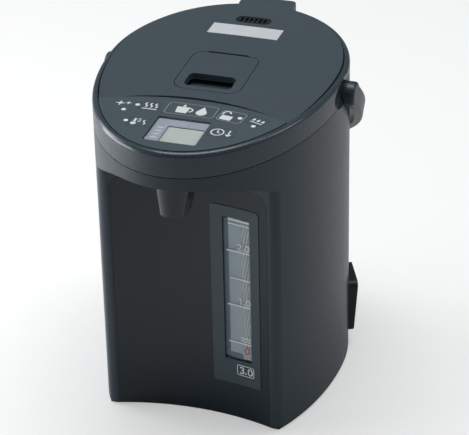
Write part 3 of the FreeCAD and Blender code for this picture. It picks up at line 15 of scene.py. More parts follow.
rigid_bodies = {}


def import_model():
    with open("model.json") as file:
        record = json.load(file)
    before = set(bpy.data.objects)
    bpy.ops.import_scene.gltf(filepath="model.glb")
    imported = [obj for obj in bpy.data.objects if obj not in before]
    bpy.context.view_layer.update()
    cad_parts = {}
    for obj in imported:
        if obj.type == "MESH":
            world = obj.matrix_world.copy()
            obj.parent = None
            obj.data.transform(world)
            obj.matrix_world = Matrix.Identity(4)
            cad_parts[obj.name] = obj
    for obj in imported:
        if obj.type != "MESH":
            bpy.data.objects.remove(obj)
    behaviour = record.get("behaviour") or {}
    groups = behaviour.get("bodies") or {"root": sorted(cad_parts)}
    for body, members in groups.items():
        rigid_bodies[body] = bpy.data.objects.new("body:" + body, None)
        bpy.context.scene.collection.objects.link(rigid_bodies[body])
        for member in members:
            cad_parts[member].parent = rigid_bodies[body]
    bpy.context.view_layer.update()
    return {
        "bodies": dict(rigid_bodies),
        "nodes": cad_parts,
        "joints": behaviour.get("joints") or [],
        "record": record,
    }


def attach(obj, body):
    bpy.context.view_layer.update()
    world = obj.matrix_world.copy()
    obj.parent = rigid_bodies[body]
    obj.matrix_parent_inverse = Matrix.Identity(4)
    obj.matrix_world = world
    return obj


Point = tuple[float, float]
Triple = tuple[float, float, float]
Color = tuple[float, float, float, float]
Layout = Callable[[float, float], Vector]
Tree = bpy.types.NodeTree
Node = bpy.types.Node
Socket = bpy.types.NodeSocket

LOG = logging.getLogger("thermo_pot")
MM = 0.001
# Width and height of the photograph in pixels.
IMAGE = (469, 435)
# Distance in metres from which rays feel for a node's skin, well outside the pot.
RAY_START = 0.4
UP = Vector((0, 0, 1))
DOWN = Vector((0, 0, -1))
FORWARD = Vector((0, -1, 0))
BACKWARD = Vector((0, 1, 0))


# Node helpers

def linear(code: str) -> Color:
    """Turn an sRGB hex value into a linear colour.

    Args:
        code: six hex digits, with or without a leading mark.

    Returns:
        The linear colour with full alpha.
    """
    digits = code.lstrip("#")
    channels = [int(digits[i:i + 2], 16) / 255 for i in (0, 2, 4)]
    mapped = [c / 12.92 if c <= 0.04045 else ((c + 0.055) / 1.055) ** 2.4 for c in channels]
    return (*mapped, 1.0)


def shade(code: str, factor: float) -> Color:
    """Linear colour of a hex value, made lighter or darker by a factor."""
    return (*[min(1.0, c * factor) for c in linear(code)[:3]], 1.0)


def per_mm(size_mm: float) -> float:
    """Texture scale at which one cell of a pattern on Object coordinates is size_mm wide."""
    return 1.0 / (size_mm * MM)


def add(tree: Tree, kind: str, settings: dict | None = None, links: dict | None = None) -> Node:
    """Add one node with its settings and links.

    Args:
        tree: the node tree that gets the node.
        kind: the node's type name.
        settings: values by attribute name, or by socket name or number.
        links: output sockets by the name or number of the input they feed.

    Returns:
        The new node.
    """
    node = tree.nodes.new(kind)
    for key, value in (settings or {}).items():
        if isinstance(key, str) and hasattr(node, key):
            setattr(node, key, value)
        else:
            node.inputs[key].default_value = value
    for key, socket in (links or {}).items():
        tree.links.new(socket, node.inputs[key])
    return node


def adjust(shader: Node, values: dict) -> None:
    """Set some of a shader's inputs by name."""
    for name, value in values.items():
        shader.inputs[name].default_value = value


def compute(tree: Tree, operation: str, *terms: Socket | float) -> Socket:
    """Add one math node.

    Args:
        tree: the node tree that gets the node.
        operation: the name of the operation.
        terms: its inputs in order, each a socket or a number.

    Returns:
        The result's socket.
    """
    node = add(tree, "ShaderNodeMath", {"operation": operation})
    for number, term in enumerate(terms):
        if isinstance(term, (int, float)):
            node.inputs[number].default_value = term
        else:
            tree.links.new(term, node.inputs[number])
    return node.outputs[0]


def noise(tree: Tree, place: Socket, cell_mm: float, detail: float) -> Socket:
    """Add a noise pattern.

    Args:
        tree: the node tree that gets the node.
        place: the coordinates that it runs on.
        cell_mm: size of its cells in millimetres.
        detail: how many finer layers it has.

    Returns:
        The pattern's socket.
    """
    node = add(tree, "ShaderNodeTexNoise", {"Scale": per_mm(cell_mm), "Detail": detail}, {"Vector": place})
    return node.outputs["Fac"]


def tint(tree: Tree, shader: Node, low: Color, high: Color, pattern: Socket) -> None:
    """Colour a shader between two colours.

    Args:
        tree: the shader's node tree.
        shader: the shader.
        low: the colour where the pattern is 0.
        high: the colour where it is 1.
        pattern: the pattern's socket.
    """
    mix = add(tree, "ShaderNodeMix", {"data_type": "RGBA", 6: low, 7: high}, {"Factor": pattern})
    tree.links.new(mix.outputs[2], shader.inputs["Base Color"])


def roughen(tree: Tree, shader: Node, low: float, high: float, pattern: Socket) -> None:
    """Vary a shader's roughness between two values.

    Args:
        tree: the shader's node tree.
        shader: the shader.
        low: the roughness where the pattern is 0.
        high: the roughness where it is 1.
        pattern: the pattern's socket.
    """
    spread = add(tree, "ShaderNodeMapRange", {"To Min": low, "To Max": high}, {"Value": pattern})
    tree.links.new(spread.outputs[0], shader.inputs["Roughness"])


def emboss(tree: Tree, shader: Node, strength: float, depth_mm: float, pattern: Socket) -> None:
    """Give a shader a fine relief.

    Args:
        tree: the shader's node tree.
        shader: the shader.
        strength: how strongly the relief shows.
        depth_mm: its depth in millimetres.
        pattern: the pattern's socket.
    """
    bump = add(tree, "ShaderNodeBump", {"Strength": strength, "Distance": depth_mm * MM}, {"Height": pattern})
    tree.links.new(bump.outputs["Normal"], shader.inputs["Normal"])


def new_tree(owner: bpy.types.ID) -> Tree:
    """Give a material or a world an empty node tree.

    Args:
        owner: the material or the world.

    Returns:
        Its node tree.
    """
    owner.use_nodes = True
    owner.node_tree.nodes.clear()
    return owner.node_tree


def new_material(name: str) -> tuple[bpy.types.Material, Tree, Node, Socket]:
    """Start a material with one main shader.

    Args:
        name: the material's name.

    Returns:
        The material, its tree, its main shader and its Object coordinates.
    """
    material = bpy.data.materials.new(name)
    tree = new_tree(material)
    shader = add(tree, "ShaderNodeBsdfPrincipled")
    add(tree, "ShaderNodeOutputMaterial", None, {"Surface": shader.outputs[0]})
    place = add(tree, "ShaderNodeTexCoord").outputs["Object"]
    return material, tree, shader, place


# Finishes

class Clarity(Enum):
    """How light passes a plastic."""

    OPAQUE = "opaque"
    CLEAR = "clear"
    MILKY = "milky"
    VEIL = "veil"


@dataclass(frozen=True)
class MouldedPlastic:
    """Injection-moulded plastic with a polished or grained tool surface.

    The eye gets an even body colour, a faint cloudiness of the pigment, a gloss that wavers slightly
    like orange peel, and fine dust and handling marks in the gloss.
    """

    name: str
    color: str
    roughness: float = 0.25
    coat: float = 0.0
    peel_mm: float = 3.0
    peel_depth: float = 0.03
    grain_mm: float = 0.0
    grain_depth: float = 0.0
    clarity: Clarity = Clarity.OPAQUE
    veil: float = 0.15
    ior: float = 1.5
    cloud_mm: float = 24.0
    cloud_range: Point = (0.94, 1.06)
    smear_mm: float = 9.0
    smear_range: Point = (0.85, 1.2)
    relief: float = 0.35

    def build(self) -> bpy.types.Material:
        """Make the material.

        Returns:
            The node-based material.
        """
        material, tree, shader, place = new_material(self.name)
        cloud = noise(tree, place, self.cloud_mm, 3.0)
        tint(tree, shader, *(shade(self.color, factor) for factor in self.cloud_range), cloud)
        smear = noise(tree, place, self.smear_mm, 5.0)
        roughen(tree, shader, *(self.roughness * factor for factor in self.smear_range), smear)
        size, depth = (self.grain_mm, self.grain_depth) if self.grain_mm else (self.peel_mm, self.peel_depth)
        emboss(tree, shader, self.relief, depth, noise(tree, place, size, 2.0))
        adjust(shader, {"Coat Weight": self.coat, "Coat Roughness": 0.06, "IOR": self.ior})
        if self.clarity is Clarity.CLEAR:
            adjust(shader, {"Transmission Weight": 0.9, "Alpha": self.veil})
        if self.clarity is Clarity.VEIL:
            adjust(shader, {"Alpha": self.veil})
        if self.clarity is Clarity.MILKY:
            adjust(shader, {"Transmission Weight": 0.35, "Subsurface Weight": 0.2,
                            "Subsurface Radius": (0.004, 0.004, 0.004)})
        return material


@dataclass(frozen=True)
class DrawnMetal:
    """Drawn, rolled or cast metal: fine draw lines around the upright axis, bright and even otherwise."""

    name: str
    color: str
    roughness: float = 0.3
    line_mm: float = 0.6
    line_depth: float = 0.02
    line_squeeze: Triple = (0.06, 0.06, 1.0)
    sheen_range: Point = (0.88, 1.08)
    gloss_range: Point = (0.75, 1.3)
    relief: float = 0.4

    def build(self) -> bpy.types.Material:
        """Make the material.

        Returns:
            The node-based material.
        """
        material, tree, shader, place = new_material(self.name)
        squeeze = add(tree, "ShaderNodeMapping", {"Scale": self.line_squeeze}, {"Vector": place})
        lines = noise(tree, squeeze.outputs["Vector"], self.line_mm, 4.0)
        tint(tree, shader, *(shade(self.color, factor) for factor in self.sheen_range), lines)
        roughen(tree, shader, *(self.roughness * factor for factor in self.gloss_range), lines)
        emboss(tree, shader, self.relief, self.line_depth, lines)
        adjust(shader, {"Metallic": 1.0})
        return material


@dataclass(frozen=True)
class StripedBacking:
    """Reflective strip behind the gauge tube, with slanting stripes between two places across, in metres."""

    name: str
    plain: str
    stripe: str
    pitch_mm: float
    strip_low: float
    strip_high: float
    slant: float = 3.2
    stripe_share: float = 0.42
    roughness: float = 0.4

    def build(self) -> bpy.types.Material:
        """Make the material.

        Returns:
            The node-based material.
        """
        material, tree, shader, place = new_material(self.name)
        axes = add(tree, "ShaderNodeSeparateXYZ", None, {"Vector": place}).outputs
        slope = compute(tree, "MULTIPLY_ADD", axes["X"], self.slant, axes["Z"])
        saw = compute(tree, "FRACT", compute(tree, "MULTIPLY", slope, per_mm(self.pitch_mm)))
        band = compute(tree, "LESS_THAN", saw, self.stripe_share)
        past_low = compute(tree, "GREATER_THAN", axes["X"], self.strip_low)
        before_high = compute(tree, "LESS_THAN", axes["X"], self.strip_high)
        strip = compute(tree, "MULTIPLY", past_low, before_high)
        tint(tree, shader, linear(self.plain), linear(self.stripe), compute(tree, "MULTIPLY", band, strip))
        adjust(shader, {"Roughness": self.roughness})
        return material


@dataclass(frozen=True)
class Ink:
    """Screen-printed or laser-marked ink: flat and slightly rough, with faint specks."""

    name: str
    color: str
    speck_mm: float = 0.8
    roughness: float = 0.5

    def build(self) -> bpy.types.Material:
        """Make the material.

        Returns:
            The node-based material.
        """
        material, tree, shader, place = new_material(self.name)
        specks = noise(tree, place, self.speck_mm, 2.0)
        tint(tree, shader, shade(self.color, 0.9), shade(self.color, 1.03), specks)
        adjust(shader, {"Roughness": self.roughness})
        return material


# The lacquered parts are blue-grey, satin to glossy. Each has its own grey as painted light and shade: the
# lid on top lighter, the upright sides darker.
FINISHES: dict[str, MouldedPlastic | DrawnMetal | StripedBacking | Ink] = {
    "casing": MouldedPlastic("Lacquered ABS, casing", "#283741", 0.3, 0.12, peel_mm=4.0, peel_depth=0.02),
    "collar": MouldedPlastic("Lacquered ABS, collar", "#324049", 0.27, 0.3, peel_mm=4.0, peel_depth=0.02),
    # Painted light: the lid's grey is lighter than the casing's, where light falls from above.
    "lid": MouldedPlastic("Lacquered ABS, lid", "#3F4C53", 0.36, 0.12, peel_mm=2.5, peel_depth=0.02),
    "panel": MouldedPlastic("Film on ABS, control panel", "#45535A", 0.38, 0.1, peel_mm=2.5, peel_depth=0.02),
    "front": MouldedPlastic("Polished ABS, front", "#15232C", 0.22, 0.15, peel_mm=5.0, peel_depth=0.02),
    "bezel": MouldedPlastic("Polished ABS, gauge frame", "#374851", 0.2, 0.25, peel_mm=5.0, peel_depth=0.02),
    "spout": MouldedPlastic("Polished ABS, spout", "#1A242B", 0.2, 0.4, peel_depth=0.02),
    "handle": MouldedPlastic("Polished polypropylene, handle", "#2B3840", 0.34, 0.1, peel_depth=0.02),
    "dark": MouldedPlastic("Black polypropylene", "#15181A", 0.42, grain_mm=0.7, grain_depth=0.05),
    "grille": MouldedPlastic("Black acetal", "#101214", 0.35, grain_mm=0.7, grain_depth=0.04),
    "under": MouldedPlastic("Grained polypropylene, base", "#1D2226", 0.55, grain_mm=0.8, grain_depth=0.08),
    "inner": MouldedPlastic("Natural polypropylene", "#A9ABA6", 0.45, grain_mm=1.0, grain_depth=0.05),
    "window": MouldedPlastic("Clear polycarbonate, window", "#C3CCD1", 0.08, clarity=Clarity.CLEAR, ior=1.45),
    "tube": MouldedPlastic("Borosilicate glass, tube", "#E6ECEE", 0.03, clarity=Clarity.CLEAR, ior=1.47),
    "silicone": MouldedPlastic("Cast silicone", "#C9C9C1", 0.5, clarity=Clarity.MILKY, ior=1.41),
    "rubber": MouldedPlastic("Black rubber", "#141414", 0.75, grain_mm=0.9, grain_depth=0.1),
    "red": MouldedPlastic("Red acetal", "#B3242B", 0.3),
    "lamp": MouldedPlastic("Clear lamp", "#F4F6F6"),
    "lcd_glass": MouldedPlastic("Coated glass, display", "#E4E7F0", 0.1, clarity=Clarity.CLEAR, veil=0.08,
                                ior=1.45),
    "lcd": MouldedPlastic("Display film", "#C3CCC6", 0.4),
    "circuit": MouldedPlastic("Solder mask on laminate", "#1C5230", 0.35, grain_mm=2.0, grain_depth=0.05),
    "sticker": MouldedPlastic("White polyester label", "#CDD1D5", 0.45, grain_mm=2.0, grain_depth=0.02),
    "steel": DrawnMetal("Stainless steel", "#B9B9B6"),
    "alloy": DrawnMetal("Cast aluminium", "#A8A9AB", 0.45, 1.2),
    "zinc": DrawnMetal("Zinc-plated steel", "#8B8D90", 0.4, 1.0),
    "brass": DrawnMetal("Plated brass", "#C7A660", 0.3, 0.8),
    "scale": StripedBacking("Striped backing, gauge", "#B4BDC1", "#F2F4F4", 9.0, 0.036, 0.0515),
    "mask": MouldedPlastic("Printed mask, display", "#A3A9B8", 0.5),
    # Painted shade: the side and foot films are darker where the frame's inner walls shade the window.
    "side_shade_film": MouldedPlastic("Film with painted shade, gauge side", "#6C808D", 0.5),
    "film_main": MouldedPlastic("Tinted film, gauge", "#B3C2CA", 0.5),
    "foot_shade_film": MouldedPlastic("Film with painted shade, gauge foot", "#66798A", 0.5),
    "film_strip": MouldedPlastic("Milky film, gauge tube", "#C6D0D5", 0.45, clarity=Clarity.VEIL, veil=0.7),
    "stripe": MouldedPlastic("Milky film, stripes", "#E9EDEF", 0.4, clarity=Clarity.VEIL, veil=0.55),
    "white_ink": Ink("White ink", "#E4E8E8"),
    "red_ink": Ink("Red ink", "#B64A50"),
    "grey_ink": Ink("Grey ink", "#8C979B"),
}


@dataclass
class Palette:
    """All materials of the pot, each made once when it is first asked for."""

    made: dict[str, bpy.types.Material] = field(default_factory=dict)

    def get(self, key: str) -> bpy.types.Material:
        """Return a material, made on first use.

        Args:
            key: key of its finish.

        Returns:
            The material.
        """
        if key not in self.made:
            self.made[key] = FINISHES[key].build()
        return self.made[key]


# Pieces

def into_scene(name: str, data: bpy.types.ID) -> bpy.types.Object:
    """Put new data into the scene as an object.

    Args:
        name: the object's name.
        data: a mesh, a camera or a lamp.

    Returns:
        The new object.
    """
    item = bpy.data.objects.new(name, data)
    bpy.context.scene.collection.objects.link(item)
    return item


def as_object(mesh: bmesh.types.BMesh, name: str) -> bpy.types.Object:
    """Turn a bmesh into an object of the scene.

    Args:
        mesh: the shape in metres, which is freed.
        name: the object's name.

    Returns:
        The new object.
    """
    data = bpy.data.meshes.new(name)
    mesh.to_mesh(data)
    mesh.free()
    return into_scene(name, data)


@dataclass
class Workshop:
    """Puts finished pieces into the scene and dresses the frame's own nodes."""

    palette: Palette
    frame: dict

    def node(self, name: str) -> bpy.types.Object:
        """Return the frame's node of that name."""
        return self.frame["nodes"][name]

    def dress(self, name: str, finish: str) -> None:
        """Give a node of the frame its finish.

        Args:
            name: the node's name.
            finish: key of the finish.
        """
        materials = self.node(name).data.materials
        materials.clear()
        materials.append(self.palette.get(finish))

    def finish(self, mesh: bmesh.types.BMesh, name: str, finish: str, body: str, slot: str) -> None:
        """Turn a bmesh into a flat-shaded piece that rides on a body.

        Args:
            mesh: the piece's shape in metres, in the row frame.
            name: the piece's name.
            finish: key of its finish.
            body: the body that it rides on.
            slot: the record's material slot, not used.
        """
        bmesh.ops.recalc_face_normals(mesh, faces=mesh.faces)
        item = as_object(mesh, name)
        item.data.materials.append(self.palette.get(finish))
        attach(item, body)
        LOG.info("%s made, %d faces", name, len(item.data.polygons))


@dataclass
class Surface:
    """Skin of one node, felt for with straight rays."""

    item: bpy.types.Object
    start: Vector
    toward: Vector
    tree: BVHTree = field(init=False)

    def __post_init__(self) -> None:
        """Build the search tree once."""
        place = self.item.matrix_world
        points = [place @ vertex.co for vertex in self.item.data.vertices]
        self.tree = BVHTree.FromPolygons(points, [tuple(face.vertices) for face in self.item.data.polygons])

    def hit(self, offset: Vector) -> Vector:
        """Find the skin on the ray that starts beside the usual start.

        Args:
            offset: sideways offset of the ray in metres.

        Returns:
            The nearest point of the skin on that ray.
        """
        origin = self.start + offset
        place = self.tree.ray_cast(origin, self.toward)[0]
        return place if place is not None else self.tree.find_nearest(origin)[0]


def from_above(item: bpy.types.Object) -> Layout:
    """Layout on the top of a node: millimetres along X and Y.

    Args:
        item: the node.

    Returns:
        A function from layout millimetres to a point on the node's top.
    """
    skin = Surface(item, Vector((0, 0, RAY_START)), DOWN)
    return lambda x, y: skin.hit(Vector((x * MM, y * MM, 0)))


def from_front(item: bpy.types.Object, inset_mm: float = 0.0) -> Layout:
    """Layout on the front of a node: millimetres along X and Z.

    Args:
        item: the node.
        inset_mm: how far behind the skin the layout lies.

    Returns:
        A function from layout millimetres to a point.
    """
    skin = Surface(item, Vector((0, -RAY_START, 0)), BACKWARD)
    return lambda x, z: skin.hit(Vector((x * MM, 0, z * MM))) + Vector((0, inset_mm * MM, 0))


# Flat outlines in millimetres

def turned(points: Sequence[Point], turn: float, across: float, along: float) -> list[Point]:
    """Turn points about their own origin and carry them to a place.

    Args:
        points: the points.
        turn: angle in degrees, counter-clockwise.
        across: place along the first axis.
        along: place along the second axis.

    Returns:
        The moved points.
    """
    c, s = math.cos(math.radians(turn)), math.sin(math.radians(turn))
    return [(across + x * c - y * s, along + x * s + y * c) for x, y in points]


def moved(points: Sequence[Point], x: float, y: float) -> list[Point]:
    """Points carried sideways."""
    return [(a + x, b + y) for a, b in points]


def round_box(width: float, height: float, corner: float) -> list[Point]:
    """Outline of a rounded rectangle around the origin.

    Args:
        width: its width.
        height: its height.
        corner: radius of its corners.

    Returns:
        Seven points for each corner, counter-clockwise.
    """
    outline = []
    for number, (sx, sy) in enumerate(((1, 1), (-1, 1), (-1, -1), (1, -1))):
        for step in range(7):
            angle = math.radians(90 * number + 15 * step)
            outline.append((sx * (width / 2 - corner) + corner * math.cos(angle),
                            sy * (height / 2 - corner) + corner * math.sin(angle)))
    return outline


def ring(radius: float, count: int = 28, start: float = 0.0, sweep: float = 360.0) -> list[Point]:
    """Points on a circle, or on an arc of it, around the origin.

    Args:
        radius: the circle's radius.
        count: how many points there are.
        start: angle of the first in degrees.
        sweep: angle that they cover in degrees.

    Returns:
        The points, counter-clockwise.
    """
    last = count if sweep >= 360 else count - 1
    angles = [math.radians(start + sweep * i / last) for i in range(count)]
    return [(radius * math.cos(angle), radius * math.sin(angle)) for angle in angles]


def drop(radius: float) -> list[Point]:
    """Outline of a falling drop around the origin."""
    return [*ring(radius, 17, 155, 230), (0.0, 2.2 * radius)]


def spark(size: float) -> list[Point]:
    """Outline of a star with four points around the origin."""
    tips = [(math.radians(45 * i), size if i % 2 == 0 else size * 0.3) for i in range(8)]
    return [(reach * math.cos(angle), reach * math.sin(angle)) for angle, reach in tips]


def wave(length: float, swing: float) -> list[Point]:
    """Upright wavy line from the origin."""
    return [(swing * math.sin(2 * math.pi * i / 12), length * i / 12) for i in range(13)]


# Lines of each digit, on a grid that is DIGIT_TALL high.
DIGITS: dict[str, list[list[Point]]] = {
    "0": [[(0.3, 1.6), (0.3, 4.4), (1.0, 5.6), (2.0, 6.0), (3.0, 5.6), (3.7, 4.4), (3.7, 1.6), (3.0, 0.4),
           (2.0, 0.0), (1.0, 0.4), (0.3, 1.6)]],
    "1": [[(1.0, 4.7), (2.3, 6.0), (2.3, 0.0)]],
    "2": [[(0.3, 4.5), (0.9, 5.6), (2.0, 6.0), (3.1, 5.6), (3.6, 4.5), (3.2, 3.3), (0.3, 0.1), (3.8, 0.1)]],
    "3": [[(0.4, 5.2), (1.2, 5.9), (2.5, 5.9), (3.4, 5.1), (3.4, 4.1), (2.6, 3.2), (1.5, 3.2)],
          [(2.6, 3.2), (3.6, 2.3), (3.6, 1.0), (2.7, 0.1), (1.2, 0.1), (0.3, 0.9)]],
}
DIGIT_TALL = 6.0
DIGIT_STEP = 5.0


@dataclass
class Stencil:
    """Thin prints on one surface, gathered in one mesh."""

    lay: Layout
    out: Vector
    thick_mm: float = 0.05
    turn: float = 0.0
    across: float = 0.0
    along: float = 0.0
    mesh: bmesh.types.BMesh = field(default_factory=bmesh.new)

    def patch(self, outline: Sequence[Point]) -> None:
        """Print one filled outline.

        Args:
            outline: its corners in layout millimetres.
        """
        placed = [self.lay(x, y) for x, y in turned(outline, self.turn, self.across, self.along)]
        low = [self.mesh.verts.new(point) for point in placed]
        high = [self.mesh.verts.new(point + self.out * (self.thick_mm * MM)) for point in placed]
        self.mesh.faces.new(high)
        self.mesh.faces.new(low[::-1])
        for i in range(len(low)):
            j = (i + 1) % len(low)
            self.mesh.faces.new((low[i], low[j], high[j], high[i]))

    def stroke(self, points: Sequence[Point], width: float, closed: bool = False) -> None:
        """Print a line of even width.

        Args:
            points: its bends in layout millimetres.
            width: its width in millimetres.
            closed: whether its end joins its start.
        """
        spots = [Vector(point) for point in points]
        count = len(spots)
        edges = []
        for i, spot in enumerate(spots):
            before = spots[i - 1] if closed or i else None
            after = spots[(i + 1) % count] if closed or i < count - 1 else None
            came = (spot - before).normalized() if before is not None else (after - spot).normalized()
            goes = (after - spot).normalized() if after is not None else came
            ahead = (came + goes).normalized()
            reach = width / 2 / max(0.6, ahead.dot(came))
            side = Vector((-ahead.y, ahead.x)) * reach
            edges.append((tuple(spot + side), tuple(spot - side)))
        for i in range(count if closed else count - 1):
            (a, b), (c, d) = edges[i], edges[(i + 1) % count]
            self.patch([a, c, d, b])

    def number(self, text: str, x: float, y: float, tall: float, width: float) -> None:
        """Print a plain number.

        Args:
            text: its digits and points.
            x: left end of the number.
            y: its foot.
            tall: its height in millimetres.
            width: width of the lines.
        """
        scale = tall / DIGIT_TALL
        dot = 1.2 * width
        for mark in text:
            if mark == ".":
                self.patch([(x, y), (x + dot, y), (x + dot, y + dot), (x, y + dot)])
                x += 2 * dot
                continue
            for line in DIGITS[mark]:
                self.stroke([(x + a * scale, y + b * scale) for a, b in line], width)
            x += DIGIT_STEP * scale


@dataclass
class PanelPrint:
    """White pictograms on the keys and the panel, and the pale outlines of the two main keys.

    A place gives the middle of a print: across, then in front of the casing's widest line, then its turn
    in degrees. The pictograms' own coordinates are millimetres from that middle.
    """

    shop: Workshop
    mid_y: float = 12.6
    edge_corner: float = 2.6
    edge_line: float = 0.7
    cap_radius: float = 1.9
    cap_top_radius: float = 1.7
    cap_thick: float = 0.12
    cap_lift: float = 0.07
    level_at: Point = (-55.0, 110.0)
    lamps: tuple[Point, ...] = ((41.0, 92.0), (55.0, 102.0), (-52.0, 101.7), (-44.0, 91.3), (-44.0, 118.6))
    places: dict[str, Triple] = field(default_factory=lambda: {
        "dispense_key": (0.0, 89.0, 0.0),
        "unlock_key": (34.0, 91.5, -9.0),
        "slow_pour_key": (56.0, 93.5, -20.0),
        "reboil_key": (-33.5, 91.5, 0.0),
        "keep_warm_key": (-33.5, 118.5, 0.0),
        "timer_key": (34.5, 118.5, 0.0),
        "control_panel": (-55.2, 92.0, 0.0),
    })

    def sheet(self, node: str) -> Stencil:
        """Start the print of one key or of the panel.

        Args:
            node: the node that carries it.

        Returns:
            An empty stencil.
        """
        across, reach, turn = self.places[node]
        lay = from_above(self.shop.node(node))
        return Stencil(lay, UP, turn=turn, across=across, along=self.mid_y - reach)

    def done(self, stencil: Stencil, name: str, key: str, finish: str = "white_ink") -> None:
        """Hand a key's print over to the workshop."""
        self.shop.finish(stencil.mesh, name, finish, f"{key}_body", "keys")

    def edge(self, name: str, key: str, width: float, height: float) -> None:
        """Outline one of the main keys.

        Args:
            name: the piece's name.
            key: the key.
            width: width of the outline.
            height: its height.
        """
        line = self.sheet(key)
        line.stroke(round_box(width, height, self.edge_corner), self.edge_line, closed=True)
        self.done(line, name, key, "grey_ink")

    def dispense(self) -> None:
        """Cup and drop on the dispense key, and its outline."""
        art = self.sheet("dispense_key")
        art.patch([(-12.5, 3.4), (-1.5, 3.4), (-2.6, -6.4), (-11.4, -6.4)])
        art.stroke(moved(ring(3.0, 12, -80, 165), -1.8, -0.8), 1.3)
        art.patch(moved(drop(1.3), -7.0, 5.0))
        art.patch(moved(drop(4.4), 9.0, -2.6))
        self.done(art, "print_dispense", "dispense_key")
        self.edge("print_dispense_edge", "dispense_key", 40.6, 18.6)

    def unlock(self) -> None:
        """Open padlock on the unlock key, and its outline."""
        art = self.sheet("unlock_key")
        art.patch(moved(round_box(9.6, 7.0, 1.0), -3.4, -3.2))
        art.stroke(moved([*ring(2.9, 11, 0, 180), (-2.9, -3.0)], -5.6, 4.0), 1.3)
        self.done(art, "print_unlock", "unlock_key")
        self.edge("print_unlock_edge", "unlock_key", 20.6, 16.6)

    def slow_pour(self) -> None:
        """Three drops over a line on the slow pour key."""
        art = self.sheet("slow_pour_key")
        for across in (-4.2, 0.0, 4.2):
            art.patch(moved(drop(1.3), across, 0.6))
        art.stroke([(-5.6, -2.6), (5.6, -2.6)], 1.0)
        self.done(art, "print_slow_pour", "slow_pour_key")

    def reboil(self) -> None:
        """Steam over a line on the boiling key."""
        art = self.sheet("reboil_key")
        for across in (-3.6, 0.6, 4.8):
            art.stroke(moved(wave(7.4, 1.0), across, -2.0), 1.2)
        art.stroke([(-5.4, -4.4), (6.8, -4.4)], 1.2)
        self.done(art, "print_reboil", "reboil_key")

    def keep_warm(self) -> None:
        """Thermometer and steam on the temperature key."""
        art = self.sheet("keep_warm_key")
        art.stroke([(-3.6, -1.4), (-3.6, 5.0)], 1.9)
        art.patch(moved(ring(2.3), -3.6, -3.0))
        for rise in (0.4, 2.6, 4.8):
            art.stroke([(-1.2, rise), (1.2, rise)], 0.8)
        art.stroke(moved(wave(7.0, 1.0), 4.6, -3.4), 1.1)
        self.done(art, "print_keep_warm", "keep_warm_key")

    def timer(self) -> None:
        """Clock and arrow on the timer key."""
        art = self.sheet("timer_key")
        art.stroke(moved(ring(5.0), -3.4, 0.0), 1.1, closed=True)
        art.stroke([(-3.4, 3.2), (-3.4, 0.0), (-1.2, -1.2)], 1.0)
        art.stroke([(6.0, 4.6), (6.0, -3.4)], 1.2)
        art.patch([(3.2, -2.2), (8.8, -2.2), (6.0, -5.4)])
        self.done(art, "print_timer", "timer_key")

    def plain_mark(self) -> None:
        """Two sparks beside the cleaning lamp, on the panel itself."""
        art = self.sheet("control_panel")
        art.patch(moved(spark(4.4), -3.0, 0.0))
        art.patch(moved(spark(3.0), 3.4, 1.6))
        self.shop.finish(art.mesh, "print_clean", "white_ink", "pot", "panel")

    def lamp_caps(self) -> None:
        """White diffusers that stay on the lamps while the unlock key moves under one of them."""
        across, reach = self.level_at
        lay = from_above(self.shop.node("control_panel"))
        top = lay(across, self.mid_y - reach).z + self.cap_lift * MM
        caps = bmesh.new()
        for across, reach in self.lamps:
            made = bmesh.ops.create_cone(caps, cap_ends=True, segments=24, radius1=self.cap_radius * MM,
                                         radius2=self.cap_top_radius * MM, depth=self.cap_thick * MM)["verts"]
            bmesh.ops.translate(caps, vec=(across * MM, (self.mid_y - reach) * MM, top), verts=made)
        self.shop.finish(caps, "lamp_caps", "lamp", "pot", "lamps")

    def build(self) -> None:
        """Print everything."""
        self.dispense()
        self.unlock()
        self.slow_pour()
        self.reboil()
        self.keep_warm()
        self.timer()
        self.plain_mark()
        self.lamp_caps()


def slab(mesh: bmesh.types.BMesh, low: Triple, high: Triple) -> None:
    """Add a box between two corners given in millimetres.

    Args:
        mesh: the mesh that gets it.
        low: its lower corner.
        high: its upper corner.
    """
    made = bmesh.ops.create_cube(mesh, size=1.0)["verts"]
    size = Vector([b - a for a, b in zip(low, high)]) * MM
    middle = Vector([(a + b) / 2 for a, b in zip(low, high)]) * MM
    bmesh.ops.scale(mesh, vec=size, verts=made)
    bmesh.ops.translate(mesh, vec=middle, verts=made)


